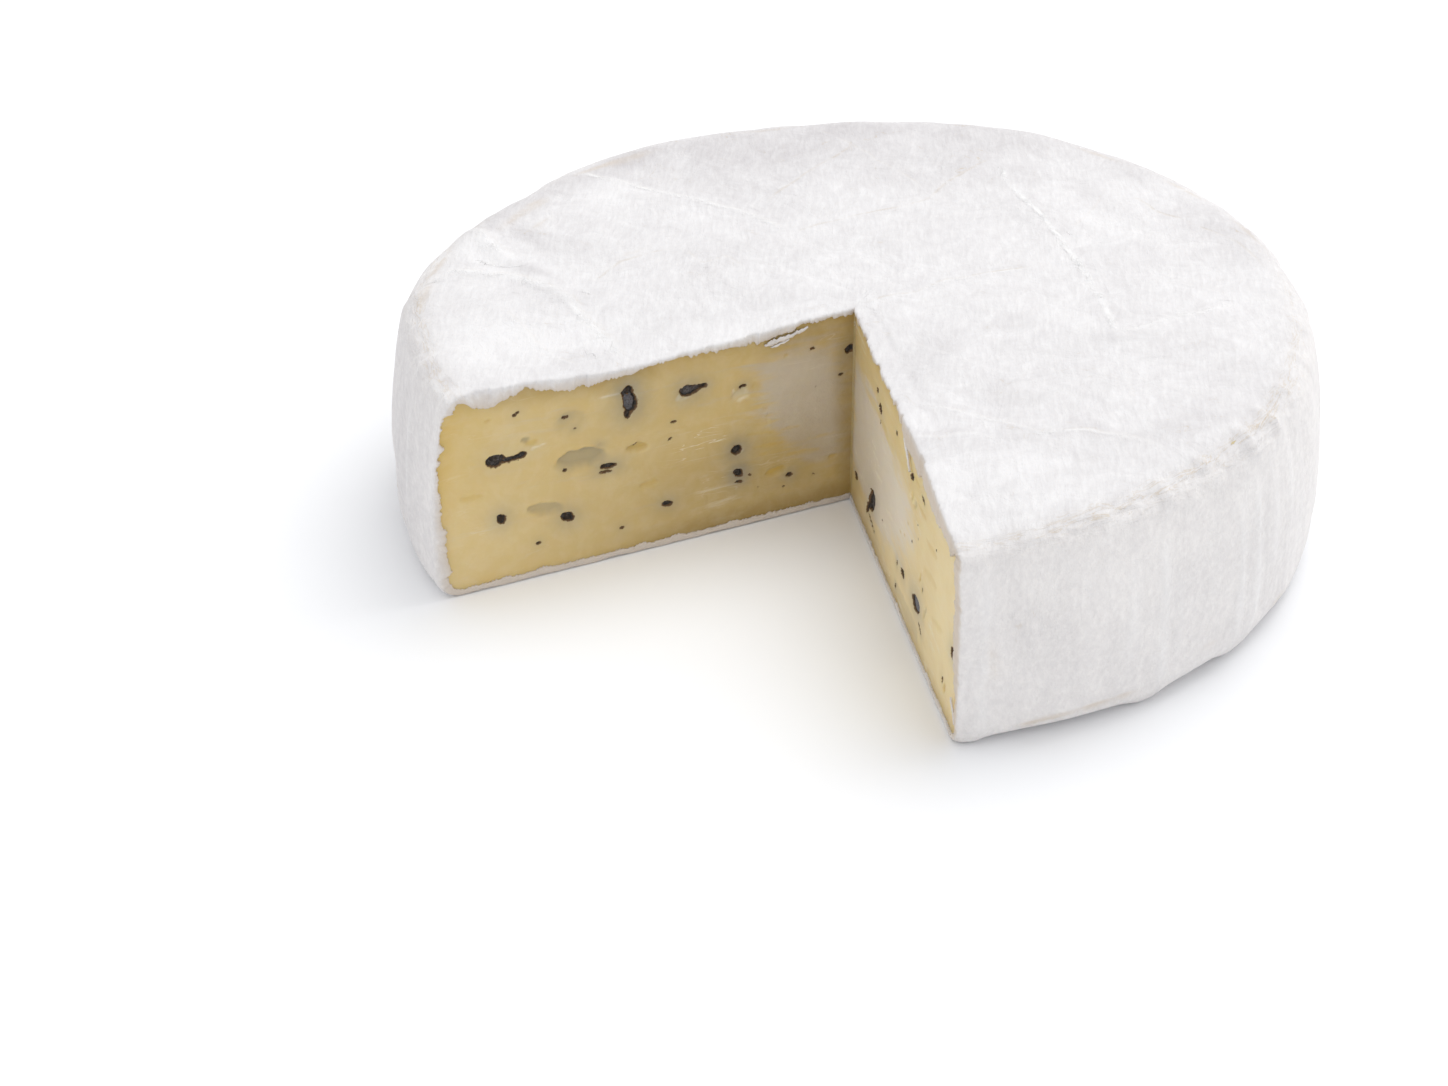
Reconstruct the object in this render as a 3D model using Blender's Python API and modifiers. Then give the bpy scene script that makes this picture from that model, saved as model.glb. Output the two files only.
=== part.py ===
# A wheel of soft white-rinded cheese, cut open to the middle by a notch, lying on its flat base.
# Units are metres, +Z is up. The origin is the wheel's centre on its base, and the notch opens to -Y.
# The wheel is one solid: a turned blank is made uneven like a ripe cheese that has slumped,
# then the notch is cut, and the paste is sunk a little behind the torn edge of the rind.

import math

import bmesh
import bpy
from mathutils import Matrix, Vector, noise

# Driving dimensions.
WHEEL_RADIUS = 0.120
WHEEL_HEIGHT = 0.0571
TOP_EDGE_WIDTH = 0.0100
TOP_EDGE_DROP = 0.0079
BASE_EDGE_WIDTH = 0.0076
BASE_EDGE_RISE = 0.0078
# The far side's top edge is rounder than the near side's, by this much each way.
FAR_EDGE_WIDER = 0.0025
FAR_EDGE_DEEPER = 0.0015
SIDE_LEAN = 0.00257
WIDEST_AT = 0.28

# The notch: where its two cuts meet, and the direction of each cut from there.
APEX = Vector((-0.0026, -0.0076, 0.0))
LEFT_CUT = math.radians(208.5)
RIGHT_CUT = math.radians(283.2)

# The rind where it is cut, and how far the paste has shrunk back behind it.
RIND = 0.0019
RIND_RAGGED = 0.0006
PASTE_SUNK = 0.0007
TORN_POINT_SPACING = 0.0035
TORN_SIZE = 0.0031
RECESS_OVERLAP = 0.0004

# How the plan outline strays from a circle: waves round it, and the amount as cosine and sine.
OUTLINE_WAVES = (
    (2, -0.00115, 0.00114),
    (3, -0.00185, -0.00055),
    (4, -0.00050, 0.00016),
    (5, 0.00026, -0.00017),
    (6, 0.00041, -0.00008),
    (7, -0.00053, 0.00026),
)
# Dents pressed into the side and edge: bearing in degrees, depth and half width.
SIDE_DENTS = (
    (58.0, 0.0007, 0.011),
    (147.0, 0.0007, 0.010),
    (198.0, 0.0008, 0.022),
    (333.0, 0.0005, 0.012),
    (12.0, 0.0005, 0.014),
    (285.6, 0.0009, 0.005),
)
# Where the soft top has slumped, most of all by the two cuts: x, y, depth and half width.
TOP_SLUMPS = (
    (0.019, -0.107, 0.0042, 0.020),
    (0.045, -0.100, 0.0016, 0.032),
    (0.008, -0.048, 0.0020, 0.038),
    (-0.030, -0.022, 0.0015, 0.025),
    (-0.064, -0.041, 0.0030, 0.024),
)
# Folds of the rind on the top: points of each fold, its height and its half width.
TOP_FOLDS = (
    (((0.0440, 0.0484), (0.0517, 0.0253), (0.0598, -0.0011), (0.0627, -0.0205)), 0.0006, 0.0040),
    (((0.0632, -0.0204), (0.0754, -0.0145), (0.0900, -0.0086)), 0.0005, 0.0040),
    (((0.0215, 0.0064), (0.0395, 0.0147), (0.0477, 0.0095)), 0.0004, 0.0040),
    (((0.0106, -0.0712), (0.0369, -0.0670), (0.0638, -0.0684)), 0.0004, 0.0040),
    (((-0.1060, 0.0300), (-0.0923, 0.0154), (-0.0770, -0.0033)), 0.0011, 0.0040),
    (((-0.1098, -0.0394), (-0.1040, -0.0499), (-0.0976, -0.0649)), 0.0013, 0.0045),
    (((-0.0619, 0.0547), (-0.0446, 0.0499), (-0.0214, 0.0370)), 0.0004, 0.0040),
    (((-0.1002, -0.0210), (-0.0865, -0.0093), (-0.0664, -0.0083)), 0.0005, 0.0040),
)
# Pits left by the mould in the cut paste. Each is its place along the cut and its height,
# its length and breadth, its slope in degrees and its depth.
LEFT_PITS = (
    (0.0976, 0.0356, 0.0046, 0.0034, 10, 0.0016),
    (0.0922, 0.0358, 0.0052, 0.0019, 12, 0.0012),
    (0.0621, 0.0436, 0.0086, 0.0036, 82, 0.0020),
    (0.0450, 0.0429, 0.0070, 0.0028, 8, 0.0018),
    (0.0312, 0.0400, 0.0030, 0.0021, 0, 0.0011),
    (0.0327, 0.0224, 0.0034, 0.0029, 80, 0.0018),
    (0.0322, 0.0155, 0.0042, 0.0031, 70, 0.0016),
    (0.0679, 0.0266, 0.0048, 0.0022, 5, 0.0014),
    (0.0600, 0.0307, 0.0047, 0.0020, 10, 0.0012),
    (0.0740, 0.0314, 0.0108, 0.0036, 8, 0.0009),
    (0.0892, 0.0392, 0.0020, 0.0014, 0, 0.0008),
    (0.0178, 0.0115, 0.0022, 0.0020, 0, 0.0010),
    (0.0217, 0.0139, 0.0052, 0.0018, 8, 0.0007),
    (0.0790, 0.0150, 0.0038, 0.0026, 30, 0.0014),
    (0.0965, 0.0190, 0.0030, 0.0024, 60, 0.0012),
    (0.0520, 0.0120, 0.0030, 0.0018, 15, 0.0010),
)
RIGHT_PITS = (
    (0.0238, 0.0156, 0.0066, 0.0030, 62, 0.0018),
    (0.0211, 0.0094, 0.0040, 0.0018, 70, 0.0010),
    (0.0060, 0.0100, 0.0034, 0.0022, 40, 0.0012),
    (0.0294, 0.0428, 0.0030, 0.0020, 20, 0.0012),
    (0.0258, 0.0461, 0.0022, 0.0015, 20, 0.0009),
    (0.0633, 0.0432, 0.0028, 0.0016, 20, 0.0010),
    (0.0746, 0.0434, 0.0026, 0.0020, 60, 0.0011),
    (0.0581, 0.0126, 0.0030, 0.0022, 50, 0.0012),
    (0.0710, 0.0135, 0.0072, 0.0036, 50, 0.0018),
    (0.0760, 0.0216, 0.0036, 0.0016, 65, 0.0008),
    (0.0510, 0.0116, 0.0022, 0.0014, 0, 0.0008),
    (0.1040, 0.0226, 0.0042, 0.0026, 60, 0.0014),
    (0.0930, 0.0090, 0.0026, 0.0016, 60, 0.0009),
)

# Uneven skin: upright pleats on the side, lumps along the lip and low swells on the top.
# The side's relief fades out over the lowest part, so that the wheel sits on a flat base.
RELIEF_STARTS = 0.002
RELIEF_FULL = 0.012
DENT_LEFT_ON_TOP = 0.4
PLEATS_ROUND = 9.0
PLEAT_DRIFT = 12.0
PLEAT_DEPTH = 0.0006
LIP_LUMP_SIZE = 0.0105
LIP_LUMP_HEIGHT = 0.0009
TOP_SWELL_SIZE = 0.038
TOP_SWELL_HEIGHT = 0.0008

# How finely the blank is turned.
TURN_STEPS = 128
WELD_GAP = 0.00002
TINY = 0.000001
TOP_RINGS = 14
TOP_EDGE_STEPS = 6
SIDE_STEPS = 8
BASE_EDGE_STEPS = 4


def smooth_step(low, high, value):
    share = min(1.0, max(0.0, (value - low) / (high - low)))
    return share * share * (3.0 - 2.0 * share)


def side_inset(z):
    """How far the side stands in from the widest level at height z."""
    return SIDE_LEAN * ((z / WHEEL_HEIGHT - WIDEST_AT) / 0.5) ** 2


def outline_radius(bearing):
    waves = sum(c * math.cos(n * bearing) + s * math.sin(n * bearing) for n, c, s in OUTLINE_WAVES)
    return WHEEL_RADIUS + waves


def blank_profile():
    """Half section of the blank, from the middle of the top, over the edge and down to the base."""
    flat_radius = WHEEL_RADIUS - side_inset(WHEEL_HEIGHT) - TOP_EDGE_WIDTH
    points = [(flat_radius * step / TOP_RINGS, WHEEL_HEIGHT) for step in range(TOP_RINGS)]
    edge_height = WHEEL_HEIGHT - TOP_EDGE_DROP
    for step in range(TOP_EDGE_STEPS, -1, -1):
        turn = math.pi / 2 * step / TOP_EDGE_STEPS
        z = edge_height + TOP_EDGE_DROP * math.sin(turn)
        points.append((WHEEL_RADIUS - side_inset(z) - TOP_EDGE_WIDTH * (1 - math.cos(turn)), z))
    for step in range(1, SIDE_STEPS):
        z = edge_height + (BASE_EDGE_RISE - edge_height) * step / SIDE_STEPS
        points.append((WHEEL_RADIUS - side_inset(z), z))
    for step in range(BASE_EDGE_STEPS + 1):
        turn = math.pi / 2 * step / BASE_EDGE_STEPS
        z = BASE_EDGE_RISE * (1 - math.sin(turn))
        points.append((WHEEL_RADIUS - side_inset(z) - BASE_EDGE_WIDTH * (1 - math.cos(turn)), z))
    points.append((0.0, 0.0))
    return points


def slump_depth(x, y):
    """How far the top has sunk at x, y."""
    return sum(
        deep * math.exp(-((x - sx) ** 2 + (y - sy) ** 2) / half_width**2)
        for sx, sy, deep, half_width in TOP_SLUMPS
    )


def fold_height(x, y):
    """Height of the folds that cross the top at x, y."""
    height = 0.0
    for points, tall, half_width in TOP_FOLDS:
        nearest = 1.0
        for (ax, ay), (bx, by) in zip(points, points[1:]):
            along = Vector((bx - ax, by - ay))
            share = ((x - ax) * along.x + (y - ay) * along.y) / along.length_squared
            share = min(1.0, max(0.0, share))
            gap = math.hypot(x - ax - share * along.x, y - ay - share * along.y)
            nearest = min(nearest, gap)
        height += tall * math.exp(-((nearest / half_width) ** 2))
    return height


def relief(bearing, x, y, z, topness):
    """How far the skin stands out along its own direction. topness is 0 on the side and 1 on the top."""
    edge = 4.0 * topness * (1.0 - topness)
    round_it = Vector((math.cos(bearing), math.sin(bearing), 0.0))
    pleat = noise.noise(round_it * PLEATS_ROUND + Vector((0, 0, z * PLEAT_DRIFT)))
    pleat += 0.5 * noise.noise(round_it * 2 * PLEATS_ROUND + Vector((3.0, 0, z * PLEAT_DRIFT)))
    above_base = smooth_step(RELIEF_STARTS, RELIEF_FULL, z)
    side = (1.0 - topness) * above_base * PLEAT_DEPTH * pleat
    for degrees, deep, half_width in SIDE_DENTS:
        away = (bearing - math.radians(degrees) + math.pi) % math.tau - math.pi
        dent = deep * math.exp(-((away * WHEEL_RADIUS / half_width) ** 2))
        side -= dent * above_base * (1.0 - (1.0 - DENT_LEFT_ON_TOP) * topness)
    lip = edge * LIP_LUMP_HEIGHT * noise.noise(Vector((x, y, z)) / LIP_LUMP_SIZE)
    swell = TOP_SWELL_HEIGHT * noise.noise(Vector((x, y, 0.3)) / TOP_SWELL_SIZE)
    top = topness * (swell + fold_height(x, y))
    return side + lip + top


def shape_skin(point):
    """Moves a point of the turned blank to its place on the uneven wheel."""
    radius = math.hypot(point.x, point.y)
    bearing = math.atan2(point.y, point.x)
    z = point.z
    if z < TINY:
        grown = outline_radius(bearing) / WHEEL_RADIUS
        return Vector((point.x * grown, point.y * grown, 0.0))
    wide = TOP_EDGE_WIDTH + FAR_EDGE_WIDER * math.sin(bearing)
    drop = TOP_EDGE_DROP + FAR_EDGE_DEEPER * math.sin(bearing)
    edge_height = WHEEL_HEIGHT - TOP_EDGE_DROP
    shift = outline_radius(bearing) - WHEEL_RADIUS
    if z > edge_height - TINY:
        flat_radius = WHEEL_RADIUS - side_inset(WHEEL_HEIGHT) - TOP_EDGE_WIDTH
        turn = math.asin(min(1.0, (z - edge_height) / TOP_EDGE_DROP))
        topness = smooth_step(0.0, 1.0, turn / (math.pi / 2))
        if radius <= flat_radius + TINY:
            rim = flat_radius + shift + TOP_EDGE_WIDTH - wide
            new_radius = radius * rim / flat_radius
            turn = math.pi / 2
        else:
            new_radius = radius + shift - (wide - TOP_EDGE_WIDTH) * (1 - math.cos(turn))
        new_z = WHEEL_HEIGHT - drop + drop * math.sin(turn)
    else:
        turn = 0.0
        topness = 0.0
        share = smooth_step(0.0, edge_height, z)
        new_z = z + share * (TOP_EDGE_DROP - drop)
        new_radius = radius + shift
    x = new_radius * math.cos(bearing)
    y = new_radius * math.sin(bearing)
    out = Vector((math.cos(bearing) * math.cos(turn), math.sin(bearing) * math.cos(turn), math.sin(turn)))
    placed = Vector((x, y, new_z)) + out * relief(bearing, x, y, new_z, topness)
    placed.z -= slump_depth(x, y) * (new_z / WHEEL_HEIGHT) ** 2
    return placed


def new_collection(name, parent):
    collection = bpy.data.collections.new(name)
    parent.children.link(collection)
    return collection


def plain_material(name, colour, roughness):
    material = bpy.data.materials.new(name)
    material.use_nodes = True
    shader = material.node_tree.nodes["Principled BSDF"]
    shader.inputs["Base Color"].default_value = (*colour, 1.0)
    shader.inputs["Roughness"].default_value = roughness
    shader.inputs["Metallic"].default_value = 0.0
    return material


def turned_wheel(collection, material):
    """The blank turned from its half section, then made uneven."""
    mesh = bpy.data.meshes.new("profile")
    points = [(radius, 0.0, z) for radius, z in blank_profile()]
    mesh.from_pydata(points, [(i, i + 1) for i in range(len(points) - 1)], [])
    profile = bpy.data.objects.new("profile", mesh)
    collection.objects.link(profile)
    screw = profile.modifiers.new("turn", "SCREW")
    screw.steps = TURN_STEPS
    screw.render_steps = TURN_STEPS
    screw.use_merge_vertices = True
    screw.merge_threshold = WELD_GAP
    bpy.context.view_layer.update()
    evaluated = profile.evaluated_get(bpy.context.evaluated_depsgraph_get())
    skin = bpy.data.meshes.new_from_object(evaluated)
    bpy.data.objects.remove(profile)
    for vertex in skin.vertices:
        vertex.co = shape_skin(vertex.co)
    skin.name = "cheese_wheel"
    skin.materials.append(material)
    wheel = bpy.data.objects.new("cheese_wheel", skin)
    collection.objects.link(wheel)
    return wheel


def as_cutter(cutter):
    cutter.hide_render = True
    cutter.display_type = "WIRE"


def flat_prism(name, outline, half_depth, place, collection, material):
    """A flat outline, drawn as a filled curve and thickened both ways, as a welded mesh."""
    curve = bpy.data.curves.new(name, "CURVE")
    curve.dimensions = "2D"
    curve.fill_mode = "BOTH"
    curve.extrude = half_depth
    spline = curve.splines.new("POLY")
    spline.points.add(len(outline) - 1)
    for point, (x, y) in zip(spline.points, outline):
        point.co = (x, y, 0.0, 1.0)
    spline.use_cyclic_u = True
    drawn = bpy.data.objects.new(name + "_outline", curve)
    collection.objects.link(drawn)
    drawn.matrix_world = place
    bpy.context.view_layer.update()
    evaluated = drawn.evaluated_get(bpy.context.evaluated_depsgraph_get())
    mesh = bpy.data.meshes.new_from_object(evaluated)
    solid = bmesh.new()
    solid.from_mesh(mesh)
    bmesh.ops.remove_doubles(solid, verts=solid.verts, dist=WELD_GAP / 4)
    bmesh.ops.recalc_face_normals(solid, faces=solid.faces)
    solid.to_mesh(mesh)
    solid.free()
    mesh.materials.clear()
    mesh.materials.append(material)
    prism = bpy.data.objects.new(name, mesh)
    collection.objects.link(prism)
    prism.matrix_world = place
    bpy.data.objects.remove(drawn)
    as_cutter(prism)
    return prism


def notch_cutter(collection, material):
    """The notch's wedge shape, taller and longer than the wheel."""
    reach = 2.0 * WHEEL_RADIUS
    outline = [(APEX.x, APEX.y)]
    for bearing in (LEFT_CUT, RIGHT_CUT):
        outline.append((APEX.x + reach * math.cos(bearing), APEX.y + reach * math.sin(bearing)))
    place = Matrix.Translation((0.0, 0.0, WHEEL_HEIGHT / 2))
    return flat_prism("notch_cutter", outline, WHEEL_HEIGHT, place, collection, material)


def cut_frame(bearing):
    """A frame on a cut: X runs out along the cut, Y is up and Z is square to the cut."""
    along = Vector((math.cos(bearing), math.sin(bearing), 0.0))
    up = Vector((0.0, 0.0, 1.0))
    frame = Matrix((along, up, along.cross(up))).transposed().to_4x4()
    frame.translation = APEX
    return frame


def skin_on_cut(wheel_skin, bearing):
    """Where the cut meets the skin, from the base's outer edge up and in over the top."""
    found = []
    direction = Vector((math.cos(bearing), math.sin(bearing)))
    middle = Vector((APEX.x, APEX.y))
    for radius, z in reversed(wheel_skin):
        if radius < TINY:
            continue
        # The skin is given round the wheel's centre, so the point is slid along to reach the cut.
        along = -middle.dot(direction) + math.sqrt(
            max(0.0, radius**2 - middle.length_squared + middle.dot(direction) ** 2)
        )
        flat = middle + direction * along
        placed = shape_skin(Vector((flat.x, flat.y, z)))
        found.append(((Vector((placed.x, placed.y)) - middle).dot(direction), placed.z))
    return found


def ragged_paste_outline(bearing, seed):
    """The paste as it shows on a cut: the skin's section drawn in by the rind, with a torn edge."""
    # The two sunk faces meet a little beyond the apex.
    inner_end = -PASTE_SUNK / math.tan((RIGHT_CUT - LEFT_CUT) / 2)
    skin = skin_on_cut(blank_profile(), bearing)
    closed = [(inner_end, 0.0)] + skin + [(inner_end, skin[-1][1])]
    fine = []
    for (ax, ay), (bx, by) in zip(closed, closed[1:]):
        steps = max(1, round(math.hypot(bx - ax, by - ay) / TORN_POINT_SPACING))
        fine += [(ax + (bx - ax) * i / steps, ay + (by - ay) * i / steps) for i in range(steps)]
    fine.append(closed[-1])
    outline = []
    for index, (s, z) in enumerate(fine):
        before = Vector(fine[max(0, index - 1)])
        after = Vector(fine[min(len(fine) - 1, index + 1)])
        along = (after - before).normalized()
        inward = Vector((-along.y, along.x))
        torn = noise.noise(Vector((s, z, 0.0)) / TORN_SIZE + Vector((0.0, 0.0, seed)))
        drawn_in = Vector((s, z)) + inward * (RIND + RIND_RAGGED * torn)
        outline.append((max(inner_end, drawn_in.x) if s > inner_end else inner_end, drawn_in.y))
    return outline


def into_cheese(bearing):
    """Which way along a cut's own Z the cheese lies."""
    return 1.0 if bearing == LEFT_CUT else -1.0


def paste_recess(name, bearing, seed, collection, material):
    """Sinks the paste of one cut behind the rind's edge."""
    outline = ragged_paste_outline(bearing, seed)
    half_depth = (RECESS_OVERLAP + PASTE_SUNK) / 2
    shift = Matrix.Translation((0.0, 0.0, into_cheese(bearing) * (PASTE_SUNK - RECESS_OVERLAP) / 2))
    return flat_prism(name, outline, half_depth, cut_frame(bearing) @ shift, collection, material)


def mould_pits(name, bearing, pits, collection, material):
    """Small blunt hollows in the paste of one cut."""
    for index, (along, height, length, breadth, slope, deep) in enumerate(pits):
        hollow = bmesh.new()
        bmesh.ops.create_icosphere(hollow, subdivisions=2, radius=1.0)
        mesh = bpy.data.meshes.new(f"{name}_{index}")
        stretch = Matrix.Diagonal((length / 2, breadth / 2, deep, 1.0))
        turn = Matrix.Rotation(math.radians(slope), 4, "Z")
        shift = Matrix.Translation((along, height, into_cheese(bearing) * PASTE_SUNK))
        bmesh.ops.transform(hollow, matrix=shift @ turn @ stretch, verts=hollow.verts)
        hollow.to_mesh(mesh)
        hollow.free()
        mesh.materials.append(material)
        pit = bpy.data.objects.new(f"{name}_{index}", mesh)
        pit.matrix_world = cut_frame(bearing)
        collection.objects.link(pit)
        as_cutter(pit)


def cut_away(wheel, name, cutter=None, collection=None):
    cut = wheel.modifiers.new(name, "BOOLEAN")
    cut.operation = "DIFFERENCE"
    cut.solver = "EXACT"
    cut.material_mode = "TRANSFER"
    if cutter is not None:
        cut.operand_type = "OBJECT"
        cut.object = cutter
    else:
        cut.operand_type = "COLLECTION"
        cut.collection = collection
        cut.use_self = True


def main():
    for old in list(bpy.data.objects):
        bpy.data.objects.remove(old)
    scene_collection = bpy.context.scene.collection
    parts = new_collection("cheese", scene_collection)
    cutters = new_collection("cutters", scene_collection)
    recesses = new_collection("recess_cutters", cutters)
    pits = new_collection("pit_cutters", cutters)
    rind = plain_material("rind", (0.84, 0.83, 0.82), 0.85)
    paste = plain_material("paste", (0.80, 0.65, 0.32), 0.45)
    mould = plain_material("mould", (0.05, 0.05, 0.05), 0.7)

    wheel = turned_wheel(parts, rind)
    notch = notch_cutter(cutters, paste)
    paste_recess("left_recess", LEFT_CUT, 1.7, recesses, paste)
    paste_recess("right_recess", RIGHT_CUT, 5.3, recesses, paste)
    mould_pits("left_pit", LEFT_CUT, LEFT_PITS, pits, mould)
    mould_pits("right_pit", RIGHT_CUT, RIGHT_PITS, pits, mould)
    cut_away(wheel, "notch", cutter=notch)
    cut_away(wheel, "sunk_paste", collection=recesses)
    cut_away(wheel, "pits", collection=pits)
    wheel.data.shade_smooth()
    wheel.data.set_sharp_from_angle(angle=math.radians(40))


main()
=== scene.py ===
import math

import bmesh
import bpy
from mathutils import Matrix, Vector, noise


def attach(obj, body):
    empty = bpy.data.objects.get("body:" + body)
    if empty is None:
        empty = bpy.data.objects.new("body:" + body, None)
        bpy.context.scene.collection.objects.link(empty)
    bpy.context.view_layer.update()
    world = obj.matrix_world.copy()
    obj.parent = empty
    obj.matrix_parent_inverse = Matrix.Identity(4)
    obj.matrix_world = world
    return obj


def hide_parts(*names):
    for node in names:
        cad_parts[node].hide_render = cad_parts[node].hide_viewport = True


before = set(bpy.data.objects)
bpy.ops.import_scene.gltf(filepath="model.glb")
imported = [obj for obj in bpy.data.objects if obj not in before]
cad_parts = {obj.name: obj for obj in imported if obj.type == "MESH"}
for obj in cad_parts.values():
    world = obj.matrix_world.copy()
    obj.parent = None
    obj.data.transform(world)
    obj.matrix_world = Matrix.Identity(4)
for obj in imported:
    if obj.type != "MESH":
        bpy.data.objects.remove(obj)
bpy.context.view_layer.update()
print("cheese: CAD model loaded")

mm = 0.001

# The wheel's form, in metres and degrees, as the CAD solid has it.
wheel = {
    "radius": 0.120,
    "height": 0.0571,
    "lipWidth": 0.0100,
    "lipDrop": 0.0079,
    "farLipWider": 0.0025,
    "farLipDeeper": 0.0015,
    "footWidth": 0.0076,
    "footRise": 0.0078,
    "sideLean": 0.00257,
    "widestAt": 0.28,
    "notchX": -0.0026,
    "notchY": -0.0076,
    "leftCut": 208.5,
    "rightCut": -76.8,
    "outlineWaves": [
        (2, -0.00115, 0.00114), (3, -0.00185, -0.00055), (4, -0.00050, 0.00016),
        (5, 0.00026, -0.00017), (6, 0.00041, -0.00008), (7, -0.00053, 0.00026),
    ],
    "sideDents": [  # bearing, depth, half width
        (58.0, 0.0007, 0.011), (147.0, 0.0007, 0.010), (198.0, 0.0008, 0.022),
        (333.0, 0.0005, 0.012), (12.0, 0.0005, 0.014), (285.6, 0.0009, 0.005),
    ],
    "slumps": [  # x, y, depth, half width
        (0.019, -0.107, 0.0042, 0.020), (0.045, -0.100, 0.0016, 0.032),
        (0.008, -0.048, 0.0020, 0.038), (-0.030, -0.022, 0.0015, 0.025),
        (-0.064, -0.041, 0.0030, 0.024),
    ],
    "folds": [  # points, height, half width
        ([(44.0, 48.4), (51.7, 25.3), (59.8, -1.1), (62.7, -20.5)], 0.0006, 0.0040),
        ([(63.2, -20.4), (75.4, -14.5), (90.0, -8.6)], 0.0005, 0.0040),
        ([(21.5, 6.4), (39.5, 14.7), (47.7, 9.5)], 0.0004, 0.0040),
        ([(10.6, -71.2), (36.9, -67.0), (63.8, -68.4)], 0.0004, 0.0040),
        ([(-106.0, 30.0), (-92.3, 15.4), (-77.0, -3.3)], 0.0011, 0.0040),
        ([(-109.8, -39.4), (-104.0, -49.9), (-97.6, -64.9)], 0.0013, 0.0045),
        ([(-61.9, 54.7), (-44.6, 49.9), (-21.4, 37.0)], 0.0004, 0.0040),
        ([(-100.2, -21.0), (-86.5, -9.3), (-66.4, -8.3)], 0.0005, 0.0040),
    ],
    "pleatsRound": 9.0,
    "pleatDrift": 12.0,
    "pleatDepth": 0.0006,
    "lipLumpSize": 0.0105,
    "lipLumpHeight": 0.0009,
    "swellSize": 0.038,
    "swellHeight": 0.0008,
}
notchPoint = Vector((wheel["notchX"], wheel["notchY"]))
leftCut = math.radians(wheel["leftCut"])
rightCut = math.radians(wheel["rightCut"])
halfNotch = (rightCut + math.tau - leftCut) / 2
# Straight away from the notch, seen from its point.
backWay = Vector((-math.cos(leftCut + halfNotch), -math.sin(leftCut + halfNotch)))


def smoothStep(low, high, value):
    share = min(1.0, max(0.0, (value - low) / (high - low)))
    return share * share * (3.0 - 2.0 * share)


def mix(a, b, share):
    return a + (b - a) * share


def noiseAt(x, y, z=0.0, seed=0.0):
    return noise.noise(Vector((x, y, z + seed)))


def sideInset(z):
    return wheel["sideLean"] * ((z / wheel["height"] - wheel["widestAt"]) / 0.5) ** 2


def outlineShift(bearing):
    return sum(c * math.cos(n * bearing) + s * math.sin(n * bearing) for n, c, s in wheel["outlineWaves"])


def slumpAt(x, y):
    return sum(
        deep * math.exp(-((x - sx) ** 2 + (y - sy) ** 2) / half ** 2)
        for sx, sy, deep, half in wheel["slumps"]
    )


# Signed gap from x, y to a line of points in millimetres, and how far along the line that is, 0 to 1.
def gapToLine(x, y, points):
    best = 1.0
    side = 1.0
    place = 0.0
    count = len(points) - 1
    for index in range(count):
        ax, ay = points[index][0] * mm, points[index][1] * mm
        bx, by = points[index + 1][0] * mm - ax, points[index + 1][1] * mm - ay
        share = ((x - ax) * bx + (y - ay) * by) / (bx * bx + by * by)
        held = min(1.0, max(0.0, share))
        gap = math.hypot(x - ax - held * bx, y - ay - held * by)
        if gap < best:
            best = gap
            side = 1.0 if bx * (y - ay) - by * (x - ax) > 0 else -1.0
            place = (index + held) / count
    return best, side, place


def foldsAt(x, y):
    height = 0.0
    for points, tall, half in wheel["folds"]:
        gap = gapToLine(x, y, points)[0]
        height += tall * math.exp(-((gap / half) ** 2))
    return height


# The skin's finer relief, which the CAD solid doesn't carry, in metres where it is a height or a size.
skinDetail = {
    "swirl": 0.9,
    "swirlSize": 0.03,
    "topSwell": 0.00050,
    "topSwellSize": 0.0190,
    "topLump": 0.00012,
    "topLumpSize": 0.0060,
    "lipCrinkle": 0.00060,
    "lipCrinkleLength": 0.0085,
    "lipCrinkleBreadth": 0.0026,
    "pleat": 0.00022,
    "pleatWidth": 0.0070,
    "pleatTall": 0.030,
    "topRidgesEnd": -0.068,
    "ridgeHeight": 0.00075,
    "ridgeWander": 1.2,
    "footFill": 0.0034,
    "footFillLeast": 0.25,
    "footFillUneven": 0.35,
    "footTuckMost": 0.85,
}
# Ridges of the top near the left rim: height and half width in metres, points in millimetres.
topRidges = [
    (0.00075, 0.0018, [(-107, 35), (-103, 30), (-98, 20), (-93, 11)]),
    (0.0006, 0.002, [(-106, 4), (-99.5, 4.5), (-92, 3), (-84.5, -0.5), (-75, -8)]),
    (0.0008, 0.002, [(-108, -42), (-101, -55), (-96, -65.5)]),
]
# Upright ridges of the side, raised in the skin and also lightened by a painted highlight: bearing, half
# width, height of the lower and upper end in millimetres, strength.
sideRidges = [
    (-76, 1.4, 4, 46, 0.8), (-64.5, 0.9, 12, 44, 0.4), (-58.5, 1.3, 16, 44, 0.5), (-54.2, 1.5, 4, 44, 1),
    (-51.8, 1.1, 10, 34, 0.4), (-46, 1.1, 20, 46, 0.35), (-41.3, 1.3, 3, 42, 0.8), (-37.8, 1.6, 6, 46, 1),
    (-33.4, 1.8, 18, 44, 0.5), (-28.5, 1.3, 24, 46, 0.5), (-23.8, 1.5, 14, 38, 0.5), (-12, 2.4, 8, 40, 0.5),
    (-3, 2.6, 20, 46, 0.4), (178, 1.8, 8, 46, 0.5), (186.5, 1.6, 14, 44, 0.6), (193, 1.8, 6, 38, 0.5),
    (201, 1.6, 12, 44, 0.6), (22, 1.6, 10, 44, 0.5), (41, 2.2, 5, 40, 0.6), (68, 1.6, 14, 46, 0.5),
    (83, 2, 6, 36, 0.5), (104, 1.5, 16, 46, 0.6), (121, 2.2, 8, 42, 0.5), (139, 1.7, 12, 46, 0.6),
    (160, 2, 6, 40, 0.5),
]
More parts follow.
